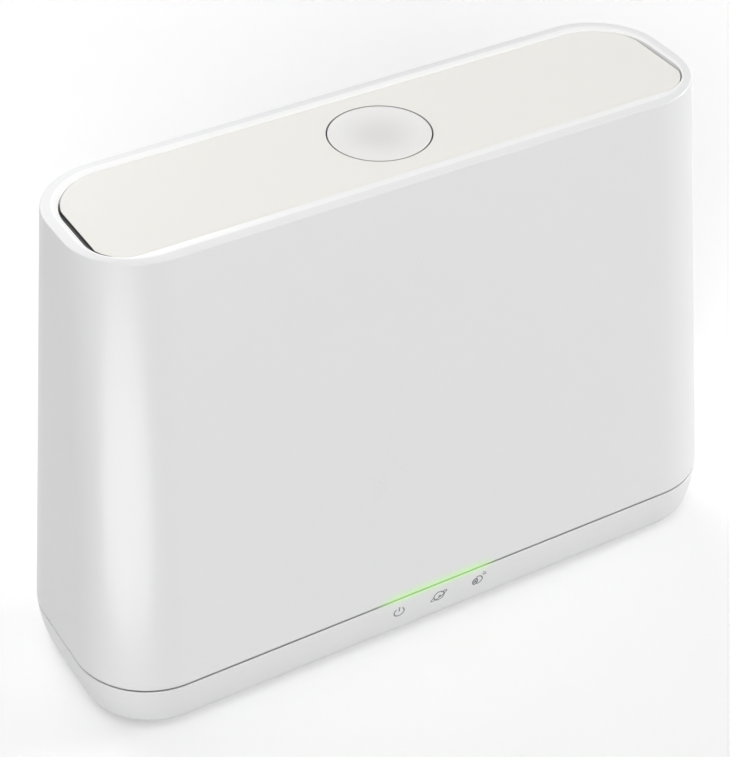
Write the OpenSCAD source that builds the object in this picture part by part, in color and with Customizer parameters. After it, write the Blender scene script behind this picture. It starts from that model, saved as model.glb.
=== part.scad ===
// Base station for wireless cameras: a flared hub with a round push button on
// top, a light seam near the foot and sockets at the rear.
// The front faces -Y, the sockets face +Y and the feet stand on the plane z = 0.

/* [Overall form] */
// Width at the seam
body_w = 175; // [172:0.5:178]
// Depth at the seam
body_d = 58.5; // [57:0.5:60]
// Height from the floor to the rim
body_h = 125.5; // [121:0.5:130]
// Width of the walls' outline at rim height
top_w = 157.6; // [155:0.1:160]
// Depth of the walls' outline at rim height
top_d = 42.8; // [42:0.1:44]
// Corner radius at the seam
seam_r = 19.6; // [19:0.1:20.2]
// Corner radius at rim height
top_r = 17.4; // [16.8:0.1:18]
// Height of the middle of the seam
seam_z = 13.3; // [13:0.1:13.8]
// Open height of the seam
seam_gap = 0.6; // [0.5:0.1:0.8]

/* [Upper shell] */
// Wall thickness of the upper shell
wall = 2.2; // [2:0.1:2.4]
// Round-over between the walls and the rim
rim_round = 0.5; // [0.3:0.1:0.8]
// Width of the rim along the panel's long sides
rim_w = 4.45; // [4.3:0.05:4.7]
// Width of the rim at the panel's ends
rim_end_w = 3.35; // [3.2:0.05:3.5]
// Corner radius of the panel's pocket at the front
pocket_front_r = 9.5; // [9:0.1:10.5]
// Corner radius of the panel's pocket at the rear
pocket_rear_r = 14.5; // [14:0.1:15]
// Small round on the edges at the seam
edge_round = 0.3; // [0.2:0.05:0.4]
// Width of the ledges that carry the panel
ledge_w = 2.5; // [2.2:0.1:2.8]
// Thickness of those ledges
ledge_t = 1.8; // [1.5:0.1:2.2]
// Radius of the screw bosses in the corners
boss_r = 3.5; // [3.2:0.1:3.8]
// Room between a boss and the corner's inner wall at the seam
boss_room = 0.8; // [0.6:0.1:1]
// Height of the bosses
boss_h = 23; // [20:1:26]

/* [Top panel] */
// Depth of the panel's face below the rim
panel_drop = 0.05; // [0:0.05:0.2]
// Thickness of the panel
panel_t = 2; // [1.8:0.1:2.2]
// Gap along the panel's long edges
panel_gap = 0.1; // [0.1:0.05:0.2]
// Width of the sound slot at each end
vent_w = 1.1; // [0.9:0.05:1.3]
// Width of that slot at its foot
vent_low = 0.5; // [0.4:0.1:0.7]
// Depth of the slope that leads into it
vent_drop = 1.4; // [1.2:0.1:1.6]
// Length of a snap hook along the panel
hook_l = 7; // [5:0.5:9]
// Distance of the snap hooks from the middle
hook_x = 42; // [36:1:48]
// Thickness of a hook's arm
hook_t = 1.4; // [1.2:0.1:1.6]
// Gap between a hook's arm and its ledge
hook_gap = 0.25; // [0.2:0.05:0.3]
// Height of a hook's foot
hook_h = 1.35; // [1.2:0.05:1.6]
// Reach of a hook under its ledge
hook_reach = 1.1; // [0.9:0.1:1.3]

/* [Sync button] */
// Radius of the button
sync_r = 11.65; // [11:0.05:12]
// Gap round the button
sync_gap = 0.35; // [0.3:0.05:0.45]
// How far the button is pressed
sync_travel = 0.8; // [0.5:0.1:1]
// Depth of the dish in its face
dish_d = 0.5; // [0.3:0.1:0.7]
// Width of the flat border round the dish
dish_border = 0.8; // [0.6:0.1:1.2]
// Thickness of the button's face and skirt
cap_t = 1.6; // [1.4:0.1:1.8]
// Thickness of the collar that guides the skirt
collar_t = 1.5; // [1.3:0.1:1.7]
// Height of the collar below the panel
collar_h = 4.5; // [4:0.5:5]
// Radius of the stem under the button
stem_r = 2.4; // [2.2:0.1:2.6]
// Distance of the two board posts from the middle
sync_post_x = 19; // [18:0.5:21]
// Radius of those posts
sync_post_r = 2.8; // [2.6:0.1:3]
// Length of those posts
sync_post_h = 12.4; // [12:0.2:13]

/* [Base tray] */
// Height of the feet below the tray
foot_h = 0.8; // [0.6:0.1:1.2]
// Radius of a foot
foot_r = 5; // [4.5:0.1:5.5]
// Depth of a foot's seat in the tray
foot_seat = 0.7; // [0.5:0.1:0.9]
// Distance of the feet from the middle, along the width
foot_x = 58; // [54:1:62]
// Distance of the feet from the middle, along the depth
foot_y = 15; // [13:0.5:16]
// How far the tray's sides draw in
draw_in = 2; // [1.6:0.1:2.4]
// Bend of the tray's sides: 1 is straight
draw_bend = 1.7; // [1.3:0.1:2.2]
// Depth of the tray's upper lip below the seam
lip_drop = 0.35; // [0.3:0.05:0.4]
// Thickness of that lip
lip_t = 0.5; // [0.5:0.05:0.6]
// Round along the lip's outer edge
lip_round = 0.25; // [0.2:0.05:0.25]
// Depth of the dark groove behind the lip
groove_d = 1.2; // [1:0.1:1.4]
// Round along the tray's lower edge
tray_round = 1.5; // [1.2:0.1:1.8]
// Thickness of the tray's floor
floor_t = 2.2; // [2:0.1:2.5]
// Distance of the tongue's outer face from the outside
tongue_in = 2.7; // [2.7:0.05:2.9]
// Thickness of the tongue
tongue_t = 1.1; // [1:0.1:1.3]
// Height of the tongue above the tray's edge
tongue_h = 2.6; // [2.2:0.1:2.8]
// Width of an air slot
slot_w = 2.4; // [2:0.1:3]
// Length of an air slot
slot_l = 18; // [14:1:20]
// Distance between air slots
slot_pitch = 7; // [6:0.5:8]
// Air slots in the row
slot_count = 13; // [5:2:13]

/* [Screws] */
// Radius of the base screws
base_screw_r = 1.45; // [1.4:0.05:1.5]
// Radius of their heads
base_head_r = 2.6; // [2.4:0.1:2.8]
// Height of their heads
base_head_h = 1.8; // [1.6:0.1:2]
// Length of their shanks
base_screw_l = 18; // [16:1:20]
// Depth of the wells that hold the heads
well_h = 6.2; // [5.5:0.1:7]
// Radius of the small screws inside
small_screw_r = 1.2; // [1.1:0.05:1.3]
// Radius of their heads
small_head_r = 2.2; // [2:0.1:2.4]
// Height of their heads
small_head_h = 1.4; // [1.2:0.1:1.6]
// Length of their shanks below what they hold
small_screw_l = 5; // [4:0.5:6]
// Room round a screw in a hole that it passes
screw_room = 0.25; // [0.2:0.05:0.3]
// Room round a screw in a hole that it bites
bite_room = 0.05; // [0.03:0.01:0.08]

/* [Main board] */
// Height of the board's lower face above the seam
board_rise = 3.6; // [3.5:0.1:4]
// Thickness of the board
board_t = 1.6; // [1.4:0.1:1.8]
// Distance of the board's ends from the tray's sides
board_side = 17.5; // [16.5:0.5:19.5]
// Room between the board's front edge and the tongue
board_room = 2.4; // [2:0.1:3]
// Distance of the board's screws from its ends
board_screw_in = 6; // [5:0.5:8]
// Distance of the board's screws from the middle, along the depth
board_screw_y = 17; // [16:0.5:17.5]
// Radius of the posts under the board
board_post_r = 3.2; // [3:0.1:3.5]

/* [Electronics] */
// Side of the processor
chip_w = 17; // [15:0.5:18]
// Height of the processor
chip_h = 1.4; // [1.2:0.1:1.6]
// Place of the processor along the width
chip_x = -12; // [-13:0.5:-11]
// Place of the processor along the depth
chip_y = -10; // [-10.5:0.5:-9.5]
// Bare border of the processor round its pad
pad_in = 0.5; // [0.3:0.1:1]
// Thickness of the pad
pad_t = 0.6; // [0.4:0.1:1]
// Width of the heat sink
sink_w = 28; // [26:1:28]
// Depth of the heat sink
sink_d = 21; // [19:0.5:21]
// Height of the heat sink
sink_h = 9; // [7:0.5:11]
// Thickness of its base
sink_base = 2; // [1.5:0.1:3]
// Distance between its fins
fin_pitch = 3.8; // [3.6:0.1:3.9]
// Gap between its fins
fin_gap = 2.2; // [1.8:0.1:2.6]
// Gaps between its fins
fin_gaps = 7; // [5:2:7]
// Sizes of the left radio shield
left_can = [26, 20, 3];
// Sizes of the right radio shield
right_can = [22, 16, 3];
// Place of the shields along the depth
can_y = -9.5; // [-10:0.5:-9]
// Thickness of a shield's sheet
can_t = 0.4; // [0.3:0.1:0.6]
// Sizes of the network transformer
line_size = [16, 8, 6];
// Place of the transformer along the depth
line_y = -10; // [-11:0.5:-9]
// Radius of a capacitor
cap_r = 3.1; // [2.8:0.1:3.3]
// Height of a capacitor
cap_h = 8; // [6:0.5:10]
// Distance between capacitors
cap_pitch = 8; // [7:0.5:9]
// Place of the middle capacitor along the depth
cap_y = -4; // [-5:0.5:-3]
// Distance of the capacitors from the board's end
cap_in = 12; // [11.5:0.5:13]
// Side of a coil
coil_w = 6; // [5:0.5:6.5]
// Height of a coil
coil_h = 3; // [2.5:0.5:4]
// Room between a coil and its neighbours
coil_room = 1; // [0.8:0.1:1.2]
// Outer sizes of a wire header
header_size = [6, 5, 5];
// Wall of a wire header
header_wall = 0.8; // [0.6:0.1:1]
// Distance between the wire headers
header_pitch = 8; // [7.5:0.5:9]
// Distance of the first header from the board's end
header_in = 13; // [12:0.5:14]
// Place of the headers along the depth
header_y = 8.5; // [8:0.5:10]

/* [Status light] */
// Length of the light bar
bar_l = 32; // [28:0.5:36]
// Depth of the bar's face inside the seam
bar_in = 0.3; // [0.3:0.05:0.6]
// Gap above and below the bar's blade
bar_gap = 0.05; // [0.03:0.01:0.08]
// Room between the tongue and the bar's foot
bar_room = 0.4; // [0.3:0.1:0.6]
// Depth of the bar's foot under the status lights
bar_foot = 4.2; // [4:0.1:4.6]
// Distance between the status lights
led_pitch = 11.4; // [10:0.2:12]
// Width of a status light
led_w = 2.8; // [2.4:0.1:3.2]
// Depth of a status light
led_d = 1.6; // [1.4:0.1:1.8]
// Height of a status light
led_h = 0.9; // [0.7:0.1:1.1]

/* [Rear sockets] */
// Width of the port window
window_w = 96; // [95:0.5:98]
// Height of the port window
window_h = 16; // [15.6:0.1:17]
// How far the window starts below the board's top
window_low = 0.8; // [0.6:0.1:1]
// Thickness of the frame round the window
frame_t = 1.6; // [1.4:0.1:1.7]
// Depth of the bezel's face below the rear wall
bezel_in = 1.6; // [1.2:0.1:2]
// Thickness of the bezel's plate
plate_t = 2; // [1.8:0.1:2.2]
// Thickness of the flange behind it
flange_t = 1.8; // [1.6:0.1:2]
// Width of the flange round the window
flange_w = 1.8; // [1.6:0.1:2]
// Gap round the bezel and round the sockets
port_gap = 0.2; // [0.15:0.05:0.25]
// Radius of the hole for the reset pin
pin_hole_r = 1; // [0.8:0.05:1.2]
// Place of the power inlet along the width
dc_x = 37; // [36.5:0.5:38]
// Place of the power button along the width
power_x = 24; // [23.5:0.5:24.5]
// Place of the network jack along the width
eth_x = 7; // [6.5:0.5:7.5]
// Place of the reset hole along the width
reset_x = -8; // [-8.5:0.5:-7.5]
// Place of the first USB jack along the width
usb_x = -21; // [-21.5:0.5:-20.5]
// Distance between the USB jacks
usb_pitch = 17; // [16.5:0.5:17.5]
// Travel of the power button
power_travel = 2; // [1.5:0.1:2.2]
// Radius of the power button
power_r = 3.4; // [3.2:0.1:3.6]
// How far the power button stands out of the bezel
power_out = 1.8; // [1.5:0.1:2.2]
// Travel of the reset plunger
reset_travel = 0.3; // [0.2:0.05:0.4]
// Running clearance of the plungers
run_gap = 0.05; // [0.03:0.01:0.08]

/* [Siren] */
// Place of the siren along the width
siren_x = -38; // [-42:1:-34]
// Height of the siren's middle
siren_z = 82; // [78:1:86]
// Radius of the siren's case
siren_r = 20; // [18:0.5:21]
// Depth of the siren's case
siren_d = 13; // [12:0.5:14]
// Length of the posts that carry it
siren_post_h = 4; // [3.5:0.1:5]
// Distance of its screws from its case
siren_screw_out = 4.5; // [4:0.5:6]
// Thickness of the case's wall
siren_wall = 1.6; // [1.4:0.1:2]
// Width of the seat under the sound disc
siren_seat_w = 2.4; // [2:0.1:3]
// Depth of that seat below the case's edge
siren_seat = 4.5; // [4:0.1:5]
// Thickness of the sound disc
disc_t = 0.5; // [0.3:0.1:0.6]
// Thickness of the cap's face
siren_cap_t = 2; // [1.6:0.1:2.4]
// Radius of the cap's mouth
siren_mouth_r = 5; // [4:0.5:6]
// Radius of the small holes round it
siren_hole_r = 1.6; // [1.2:0.1:2]

/* [Antennas] */
// Height of an antenna board
ant_h = 46; // [42:1:48]
// Width of an antenna board
ant_w = 22; // [18:1:24]
// Thickness of an antenna board
ant_t = 0.8; // [0.6:0.1:1]
// Height of the antennas' lower edge
ant_z = 58; // [54:1:60]
// Distance of an antenna from the wall at its top
ant_off = 6; // [5:0.5:7]
// Distance between an antenna's two pegs
peg_pitch = 34; // [30:1:36]

/* [Hidden] */
$fn = 48;
corner_steps = 10;

// The walls run straight from the seam to the rim
function rise(z) = (body_h - z) / (body_h - seam_z);
function side_w(z) = top_w + (body_w - top_w) * rise(z);
function side_d(z) = top_d + (body_d - top_d) * rise(z);
function side_r(z) = top_r + (seam_r - top_r) * rise(z);
function wall_section(z, inset) = [side_w(z) - 2 * inset, side_d(z) - 2 * inset, side_r(z) - inset, z];

// Levels of the tray, the shell and the panel
tray_z0 = foot_h;
tray_top = seam_z - seam_gap / 2;
floor_z = tray_z0 + floor_t;
shell_z0 = seam_z + seam_gap / 2;
panel_top = body_h - panel_drop;
ledge_z = panel_top - panel_t;
roof_z = ledge_z - ledge_t;
pocket_w = top_w - 2 * rim_end_w;
pocket_d = top_d - 2 * rim_w;
slot_slope = vent_w - vent_low;
slot_foot_w = pocket_w - 2 * slot_slope;
lip_top = tray_top - lip_drop;
groove_z = tray_top - groove_d;
way_d = pocket_d - 2 * ledge_w;

// Corner screws, in line with the shell's corner
boss_off = (seam_r - wall - boss_r - boss_room) * sin(45);
boss_x = body_w / 2 - seam_r + boss_off;
boss_y = body_d / 2 - seam_r + boss_off;
boss_z0 = tray_top + tongue_h + port_gap;
well_post_r = boss_r + 0.9;
well_post_top = tray_top + tongue_h;
head_z = tray_z0 + well_h;
cavity_in = tongue_in + tongue_t;

// The main board and the rear bezel
board_w = body_w - 2 * board_side;
board_screw_x = board_w / 2 - board_screw_in;
board_z = seam_z + board_rise;
board_top = board_z + board_t;
window_z0 = board_top - window_low;
window_z1 = window_z0 + window_h;
rear_y = side_d(window_z1 + frame_t) / 2;
bezel_y = rear_y - bezel_in;
flange_y = bezel_y - plate_t;
flange_back = flange_y - flange_t;
board_front = -body_d / 2 + cavity_in + board_room;
board_back = flange_back - 0.6;

// The sync button's stack, from the panel down
sync_hole_r = sync_r + sync_gap;
collar_z = ledge_z - collar_h;
snap_gap = 0.3;
skirt_z = collar_z - snap_gap;
foot_snap_h = 1.4;
foot_snap_w = 6;
foot_snap_reach = 0.8;
sync_board_t = 1.2;
sync_board_d = 16;
sync_board_out = 5;
sync_board_top = ledge_z - sync_post_h;
switch_h = 3.4;
switch_w = 6;
switch_floor = 1;
stem_z = sync_board_top + switch_h + sync_travel;
sync_plunger_r = 1.7;
dish_r = sync_r - dish_border;

// The sockets' standard sizes
eth_w = 16;
eth_h = 13.4;
eth_l = 21;
eth_sheet = 0.3;
eth_plug_w = 11.9;
eth_plug_h = 7;
eth_plug_l = 13.8;
eth_plug_z = board_top + 3.6;
eth_latch_w = 6.2;
eth_latch_h = 2;
usb_w = 13.1;
usb_h = 5.7;
usb_l = 14;
usb_sheet = 0.3;
usb_z = board_top;
usb_block = 4;
usb_tongue_w = 11.1;
usb_tongue_t = 1.84;
usb_tongue_in = 0.8;
usb_tongue_z = usb_h / 2 + 0.2;
usb_pin_x = 3.5;
usb_pin_w = 1;
usb_pin_t = 0.15;
dc_w = 9;
dc_h = 11;
dc_l = 13;
dc_nose_r = 3.9;
dc_bore_r = 3.2;
dc_pin_r = 1;
dc_bore_l = 9.5;
dc_z = board_top + 6.5;
power_z = board_top + 6;
power_body = 8;
power_body_l = 9;
power_stem_r = 1.6;
power_cap_l = 2.6;
power_front = bezel_y - power_cap_l - power_travel - 0.6;
reset_z = board_top + 3.4;
reset_w = 6;
reset_l = 3.6;
reset_h = 5.4;
reset_plunger_r = 0.9;
reset_tip = flange_back - 0.8;
reset_front = reset_tip - reset_travel - 0.5;
jack_front = bezel_y - port_gap;

// Places on the board that its parts share
line_x = eth_x + eth_w / 2;
cap_x = board_w / 2 - cap_in;
board_r = 3;

// The siren's rear face and the antennas' inner faces
siren_y = side_d(siren_z) / 2 - wall - siren_post_h;
siren_screw_x = siren_r + siren_screw_out;
siren_lug_r = 4;
siren_lug_t = 2.4;
siren_gap = 0.2;
ant_x = side_w(ant_z + ant_h) / 2 - wall - ant_off;
peg_z0 = ant_z + (ant_h - peg_pitch) / 2;
peg_r = 2.6;
peg_pin_r = 1.2;

// Ring of points of a rounded rectangle, counter-clockwise from above.
// r is the radius of the rear corners and f of the front ones
function ring(w, d, r, f) = [for (c = [0:3], i = [0:corner_steps])
  let (a = 90 * (c + i / corner_steps), q = c < 2 ? r : f, sx = (c == 0 || c == 3) ? 1 : -1, sy = c < 2 ? 1 : -1)
  [sx * (w / 2 - q) + q * cos(a), sy * (d / 2 - q) + q * sin(a)]];

// Section of the panel's pocket at a height, moved in at its ends
function pocket_section(z, inset) = [pocket_w - 2 * inset, pocket_d, pocket_rear_r - inset, z, pocket_front_r - inset];

// Skin through rounded rectangles [width, depth, radius, height, front radius if another], lowest first
module loft(sections) {
  n = 4 * (corner_steps + 1);
  last = len(sections) - 1;
  points = [for (s = sections) for (p = ring(s[0], s[1], s[2], s[len(s) > 4 ? 4 : 2])) [p[0], p[1], s[3]]];
  lower = [[for (i = [0:n - 1]) i]];
  upper = [[for (i = [n - 1:-1:0]) last * n + i]];
  sides = [for (k = [0:last - 1], i = [0:n - 1])
    let (j = (i + 1) % n) [k * n + i, (k + 1) * n + i, (k + 1) * n + j, k * n + j]];
  polyhedron(points = points, faces = concat(lower, upper, sides));
}

// Flat rounded rectangle of height h
module slab(w, d, r, h) {
  linear_extrude(height = h) polygon(ring(w, d, r, r));
}

// Flat slot of length l and width w along Y
module slot(l, w, h) {
  linear_extrude(height = h) polygon(concat(
    [for (i = [0:8]) let (a = 180 * i / 8) [w / 2 * cos(a), (l - w) / 2 + w / 2 * sin(a)]],
    [for (i = [0:8]) let (a = 180 + 180 * i / 8) [w / 2 * cos(a), -(l - w) / 2 + w / 2 * sin(a)]]));
}

// Block given by its low and high corners
module block(low, high) {
  translate(low) cube(high - low);
}

// Upright cylinder from one height to another
module post(x, y, z0, z1, r) {
  translate([x, y, z0]) cylinder(r = r, h = z1 - z0);
}

// Cylinder along Y from one depth to another
module rod(x, z, y0, y1, r) {
  translate([x, y1, z]) rotate([90, 0, 0]) cylinder(r = r, h = y1 - y0);
}

// Four copies, one for each corner
module corners(x, y) {
  for (sx = [-1, 1], sy = [-1, 1]) translate([sx * x, sy * y, 0]) children();
}

module shell_skin() {
  difference() {
    loft(concat(
      [wall_section(shell_z0, edge_round), wall_section(shell_z0 + edge_round, 0)],
      [for (a = [0:18:90]) let (s = wall_section(body_h - rim_round, rim_round * (1 - cos(a))))
        [s[0], s[1], s[2], s[3] + rim_round * sin(a)]]));
    loft([wall_section(shell_z0 - 1, wall), wall_section(roof_z, wall)]);
    loft([pocket_section(ledge_z, slot_slope), pocket_section(body_h - vent_drop, slot_slope),
      pocket_section(body_h, 0), pocket_section(body_h + 1, 0)]);
    translate([0, 0, roof_z - 1]) slab(slot_foot_w - 0.2, way_d, pocket_front_r - slot_slope - 1, ledge_t + 2);
  }
}

// Frame of the port window, which reaches in from the rear wall
module port_frame() {
  block([-window_w / 2 - frame_t, flange_y, window_z0 - frame_t],
    [window_w / 2 + frame_t, rear_y - 0.5, window_z1 + frame_t]);
}

// Posts for the siren, from the rear wall
module siren_posts() {
  for (s = [-1, 1])
    rod(siren_x + s * siren_screw_x, siren_z, siren_y, side_d(siren_z) / 2 - wall / 2, siren_lug_r - 0.4);
}

// Pegs for the antennas, each with a pin that the board sits on
module antenna_pegs() {
  for (s = [-1, 1], z = [peg_z0, peg_z0 + peg_pitch]) {
    peg_l = side_w(z) / 2 - wall / 2 - ant_x;
    translate([s * ant_x, 0, z]) rotate([0, s * 90, 0]) cylinder(r = peg_r, h = peg_l);
    translate([s * (ant_x - ant_t - 1), 0, z]) rotate([0, s * 90, 0]) cylinder(r = peg_pin_r, h = ant_t + 2);
  }
}

module upper_shell() {
  color("white")
  difference() {
    union() {
      shell_skin();
      corners(boss_x, boss_y) post(0, 0, boss_z0, boss_z0 + boss_h, boss_r);
      port_frame();
      siren_posts();
      antenna_pegs();
    }
    block([-window_w / 2, flange_y - 1, window_z0], [window_w / 2, body_d, window_z1]);
    corners(boss_x, boss_y) post(0, 0, boss_z0 - 1, boss_z0 + base_screw_l - 4, base_screw_r + bite_room);
    for (s = [-1, 1])
      rod(siren_x + s * siren_screw_x, siren_z, siren_y - 1, siren_y + siren_post_h - 0.4, small_screw_r + bite_room);
  }
}

// Snap hook that reaches under the ledge on the +Y side
module snap_hook() {
  y = way_d / 2 - hook_gap;
  z = roof_z - port_gap - hook_h;
  block([-hook_l / 2, y - hook_t, z], [hook_l / 2, y, ledge_z + 0.5]);
  block([-hook_l / 2, y - hook_t / 2, z], [hook_l / 2, y + hook_reach, z + hook_h]);
}

module top_panel() {
  w = slot_foot_w - 2 * panel_gap;
  d = pocket_d - 2 * panel_gap;
  r = pocket_rear_r - slot_slope - panel_gap;
  f = pocket_front_r - slot_slope - panel_gap;
  end = pocket_w / 2 - vent_w;
  color([0.94, 0.93, 0.9])
  difference() {
    union() {
      intersection() {
        loft([[w, d, r, ledge_z, f], [w, d, r, panel_top - 0.2, f], [w - 0.3, d - 0.3, r - 0.15, panel_top, f - 0.15]]);
        block([-end, -d, ledge_z - 1], [end, d, body_h]);
      }
      post(0, 0, collar_z, ledge_z + 0.5, sync_hole_r + collar_t);
      for (s = [-1, 1]) post(s * sync_post_x, 0, sync_board_top, ledge_z + 0.5, sync_post_r);
      for (sx = [-1, 1]) {
        translate([sx * hook_x, 0, 0]) snap_hook();
        translate([sx * hook_x, 0, 0]) mirror([0, 1, 0]) snap_hook();
      }
    }
    post(0, 0, collar_z - 1, body_h, sync_hole_r);
    for (s = [-1, 1])
      post(s * sync_post_x, 0, sync_board_top - 1, sync_board_top + small_screw_l + 1, small_screw_r + bite_room);
  }
}

module sync_button() {
  under = panel_top - dish_d - cap_t;
  color([0.95, 0.95, 0.94])
  union() {
    rotate_extrude() polygon(concat(
      [for (i = [0:10]) let (q = i / 10) [dish_r * q, panel_top - dish_d * pow(1 - q * q, 1.5)]],
      [[sync_r - 0.3, panel_top], [sync_r - 0.09, panel_top - 0.09], [sync_r, panel_top - 0.3]],
      [[sync_r, skirt_z], [sync_r - cap_t, skirt_z], [sync_r - cap_t, under]],
      [[stem_r, under], [stem_r, stem_z], [0, stem_z]]));
    for (a = [30, 150, 270]) rotate([0, 0, a]) {
      block([sync_r - cap_t, -foot_snap_w / 2, skirt_z - foot_snap_h], [sync_r - 0.5, foot_snap_w / 2, skirt_z + 1]);
      block([sync_r - cap_t, -foot_snap_w / 2, skirt_z - foot_snap_h],
        [sync_hole_r + foot_snap_reach, foot_snap_w / 2, skirt_z]);
    }
  }
}

module sync_plunger() {
  color([0.2, 0.2, 0.2])
  post(0, 0, stem_z - sync_travel - 1.2, stem_z, sync_plunger_r);
}

module sync_switch() {
  color([0.12, 0.12, 0.13])
  difference() {
    block([-switch_w / 2, -switch_w / 2, sync_board_top], [switch_w / 2, switch_w / 2, sync_board_top + switch_h]);
    post(0, 0, sync_board_top + switch_floor, sync_board_top + switch_h + 1, sync_plunger_r + run_gap);
  }
}

module sync_board() {
  color([0.1, 0.4, 0.2])
  difference() {
    translate([0, 0, sync_board_top - sync_board_t]) slab(2 * (sync_post_x + sync_board_out), sync_board_d, board_r, sync_board_t);
    for (s = [-1, 1])
      post(s * sync_post_x, 0, sync_board_top - 5, sync_board_top + 1, small_screw_r + screw_room);
  }
}

// Small screw whose head rests on z = 0 and whose shank hangs below
module small_screw(l) {
  rotate_extrude() polygon([[0, -l], [small_screw_r * 0.6, -l], [small_screw_r, 0.8 - l], [small_screw_r, 0],
    [small_head_r, 0], [small_head_r, small_head_h * 0.6], [small_head_r * 0.7, small_head_h], [0, small_head_h]]);
}

module sync_screws() {
  color("silver")
  for (s = [-1, 1]) translate([s * sync_post_x, 0, sync_board_top - sync_board_t])
    mirror([0, 0, 1]) small_screw(small_screw_l + sync_board_t);
}

// Section of the tray: the sides draw in on a bend, and the lower edge is round
function tray_section(z, extra) =
  let (t = (tray_top - z) / (tray_top - tray_z0), inset = draw_in * pow(t, draw_bend) + extra)
  [body_w - 2 * inset, body_d - 2 * inset, seam_r - inset, z];

module tray_skin() {
  difference() {
    union() {
      difference() {
        loft(concat(
          [for (a = [0:30:60]) tray_section(tray_z0 + tray_round * (1 - cos(a)), tray_round * (1 - sin(a)))],
          [for (q = [0:0.2:1]) tray_section(tray_z0 + tray_round + q * (lip_top - lip_round - tray_z0 - tray_round), 0)],
          [for (a = [30:30:90]) tray_section(lip_top - lip_round * (1 - sin(a)), lip_round * (1 - cos(a)))]));
        translate([0, 0, groove_z]) slab(body_w - 2 * lip_t, body_d - 2 * lip_t, seam_r - lip_t, body_h);
      }
      translate([0, 0, groove_z - 1])
        slab(body_w - 2 * tongue_in, body_d - 2 * tongue_in, seam_r - tongue_in, groove_d + tongue_h + 1);
    }
    translate([0, 0, floor_z])
      slab(body_w - 2 * cavity_in, body_d - 2 * cavity_in, seam_r - cavity_in, body_h);
  }
}

module base_tray() {
  color("white")
  difference() {
    union() {
      tray_skin();
      corners(boss_x, boss_y) post(0, 0, floor_z - 1, tray_top - 0.5, well_post_r);
      corners(boss_x, boss_y) post(0, 0, floor_z - 1, well_post_top, boss_r);
      corners(board_screw_x, board_screw_y) post(0, 0, floor_z - 1, board_z, board_post_r);
      for (s = [-1, 1]) block([s * (bar_l / 2 - 3) - 1, -body_d / 2 + cavity_in - 0.5, floor_z - 1],
        [s * (bar_l / 2 - 3) + 1, -body_d / 2 + cavity_in + 4, tray_top]);
    }
    // Way for the light bar through the tongue
    block([-bar_l / 2 - 1, -body_d / 2 + tongue_in - 0.5, tray_top],
      [bar_l / 2 + 1, -body_d / 2 + cavity_in + 1, body_h]);
    corners(boss_x, boss_y) post(0, 0, tray_z0 - 1, head_z, base_head_r + screw_room);
    corners(boss_x, boss_y) post(0, 0, tray_z0 - 1, body_h, base_screw_r + screw_room);
    corners(board_screw_x, board_screw_y)
      post(0, 0, board_z - small_screw_l - 1, body_h, small_screw_r + bite_room);
    corners(foot_x, foot_y) post(0, 0, tray_z0 - 1, tray_z0 + foot_seat, foot_r + port_gap);
    for (i = [0:slot_count - 1]) translate([(i - (slot_count - 1) / 2) * slot_pitch, 0, tray_z0 - 1])
      slot(slot_l, slot_w, floor_t + 2);
  }
}

module light_bar() {
  y0 = -body_d / 2;
  color([0.6, 0.95, 0.5])
  union() {
    block([-bar_l / 2, y0 + bar_in, tray_top + bar_gap], [bar_l / 2, y0 + cavity_in + 2 * bar_room, shell_z0 - bar_gap]);
    block([-bar_l / 2, y0 + cavity_in + bar_room, tray_top + bar_gap],
      [bar_l / 2, y0 + cavity_in + bar_room + bar_foot, board_z - led_h - port_gap]);
  }
}

module status_lights() {
  color([0.9, 0.95, 0.8])
  for (i = [-1:1]) translate([i * led_pitch, -body_d / 2 + cavity_in + bar_room + bar_foot - led_d, 0])
    block([-led_w / 2, -led_d / 2, board_z - led_h], [led_w / 2, led_d / 2, board_z]);
}

module rubber_feet() {
  color([0.25, 0.25, 0.25])
  corners(foot_x, foot_y) rotate_extrude() polygon([[0, 0], [foot_r - 0.4, 0], [foot_r, 0.4],
    [foot_r, foot_h + foot_seat], [0, foot_h + foot_seat]]);
}

module base_screws() {
  color("silver")
  corners(boss_x, boss_y) translate([0, 0, head_z]) mirror([0, 0, 1]) rotate_extrude() polygon([
    [0, -base_screw_l], [base_screw_r * 0.5, -base_screw_l], [base_screw_r, 1.2 - base_screw_l], [base_screw_r, 0],
    [base_head_r, 0], [base_head_r, base_head_h * 0.6], [base_head_r * 0.75, base_head_h], [0, base_head_h]]);
}

module main_board() {
  color([0.1, 0.42, 0.22])
  difference() {
    translate([0, (board_front + board_back) / 2, board_z]) slab(board_w, board_back - board_front, board_r, board_t);
    corners(board_screw_x, board_screw_y) post(0, 0, board_z - 1, board_top + 1, small_screw_r + screw_room);
  }
}

module board_screws() {
  color("silver")
  corners(board_screw_x, board_screw_y) translate([0, 0, board_top]) small_screw(small_screw_l + board_t);
}

// Openings of the bezel: the network jack, the USB jacks, the inlet's nose, the button and the pin hole
module port_cuts(y0, y1) {
  block([eth_x - eth_w / 2 - port_gap, y0, board_top - 0.1],
    [eth_x + eth_w / 2 + port_gap, y1, board_top + eth_h + port_gap]);
  for (i = [0, 1]) block([usb_x - i * usb_pitch - usb_w / 2 - port_gap, y0, usb_z - 0.1],
    [usb_x - i * usb_pitch + usb_w / 2 + port_gap, y1, usb_z + usb_h + port_gap]);
  rod(dc_x, dc_z, y0, y1, dc_nose_r + port_gap);
  rod(power_x, power_z, y0, y1, power_r + 0.3);
  rod(reset_x, reset_z, y0, y1, pin_hole_r);
}

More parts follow.
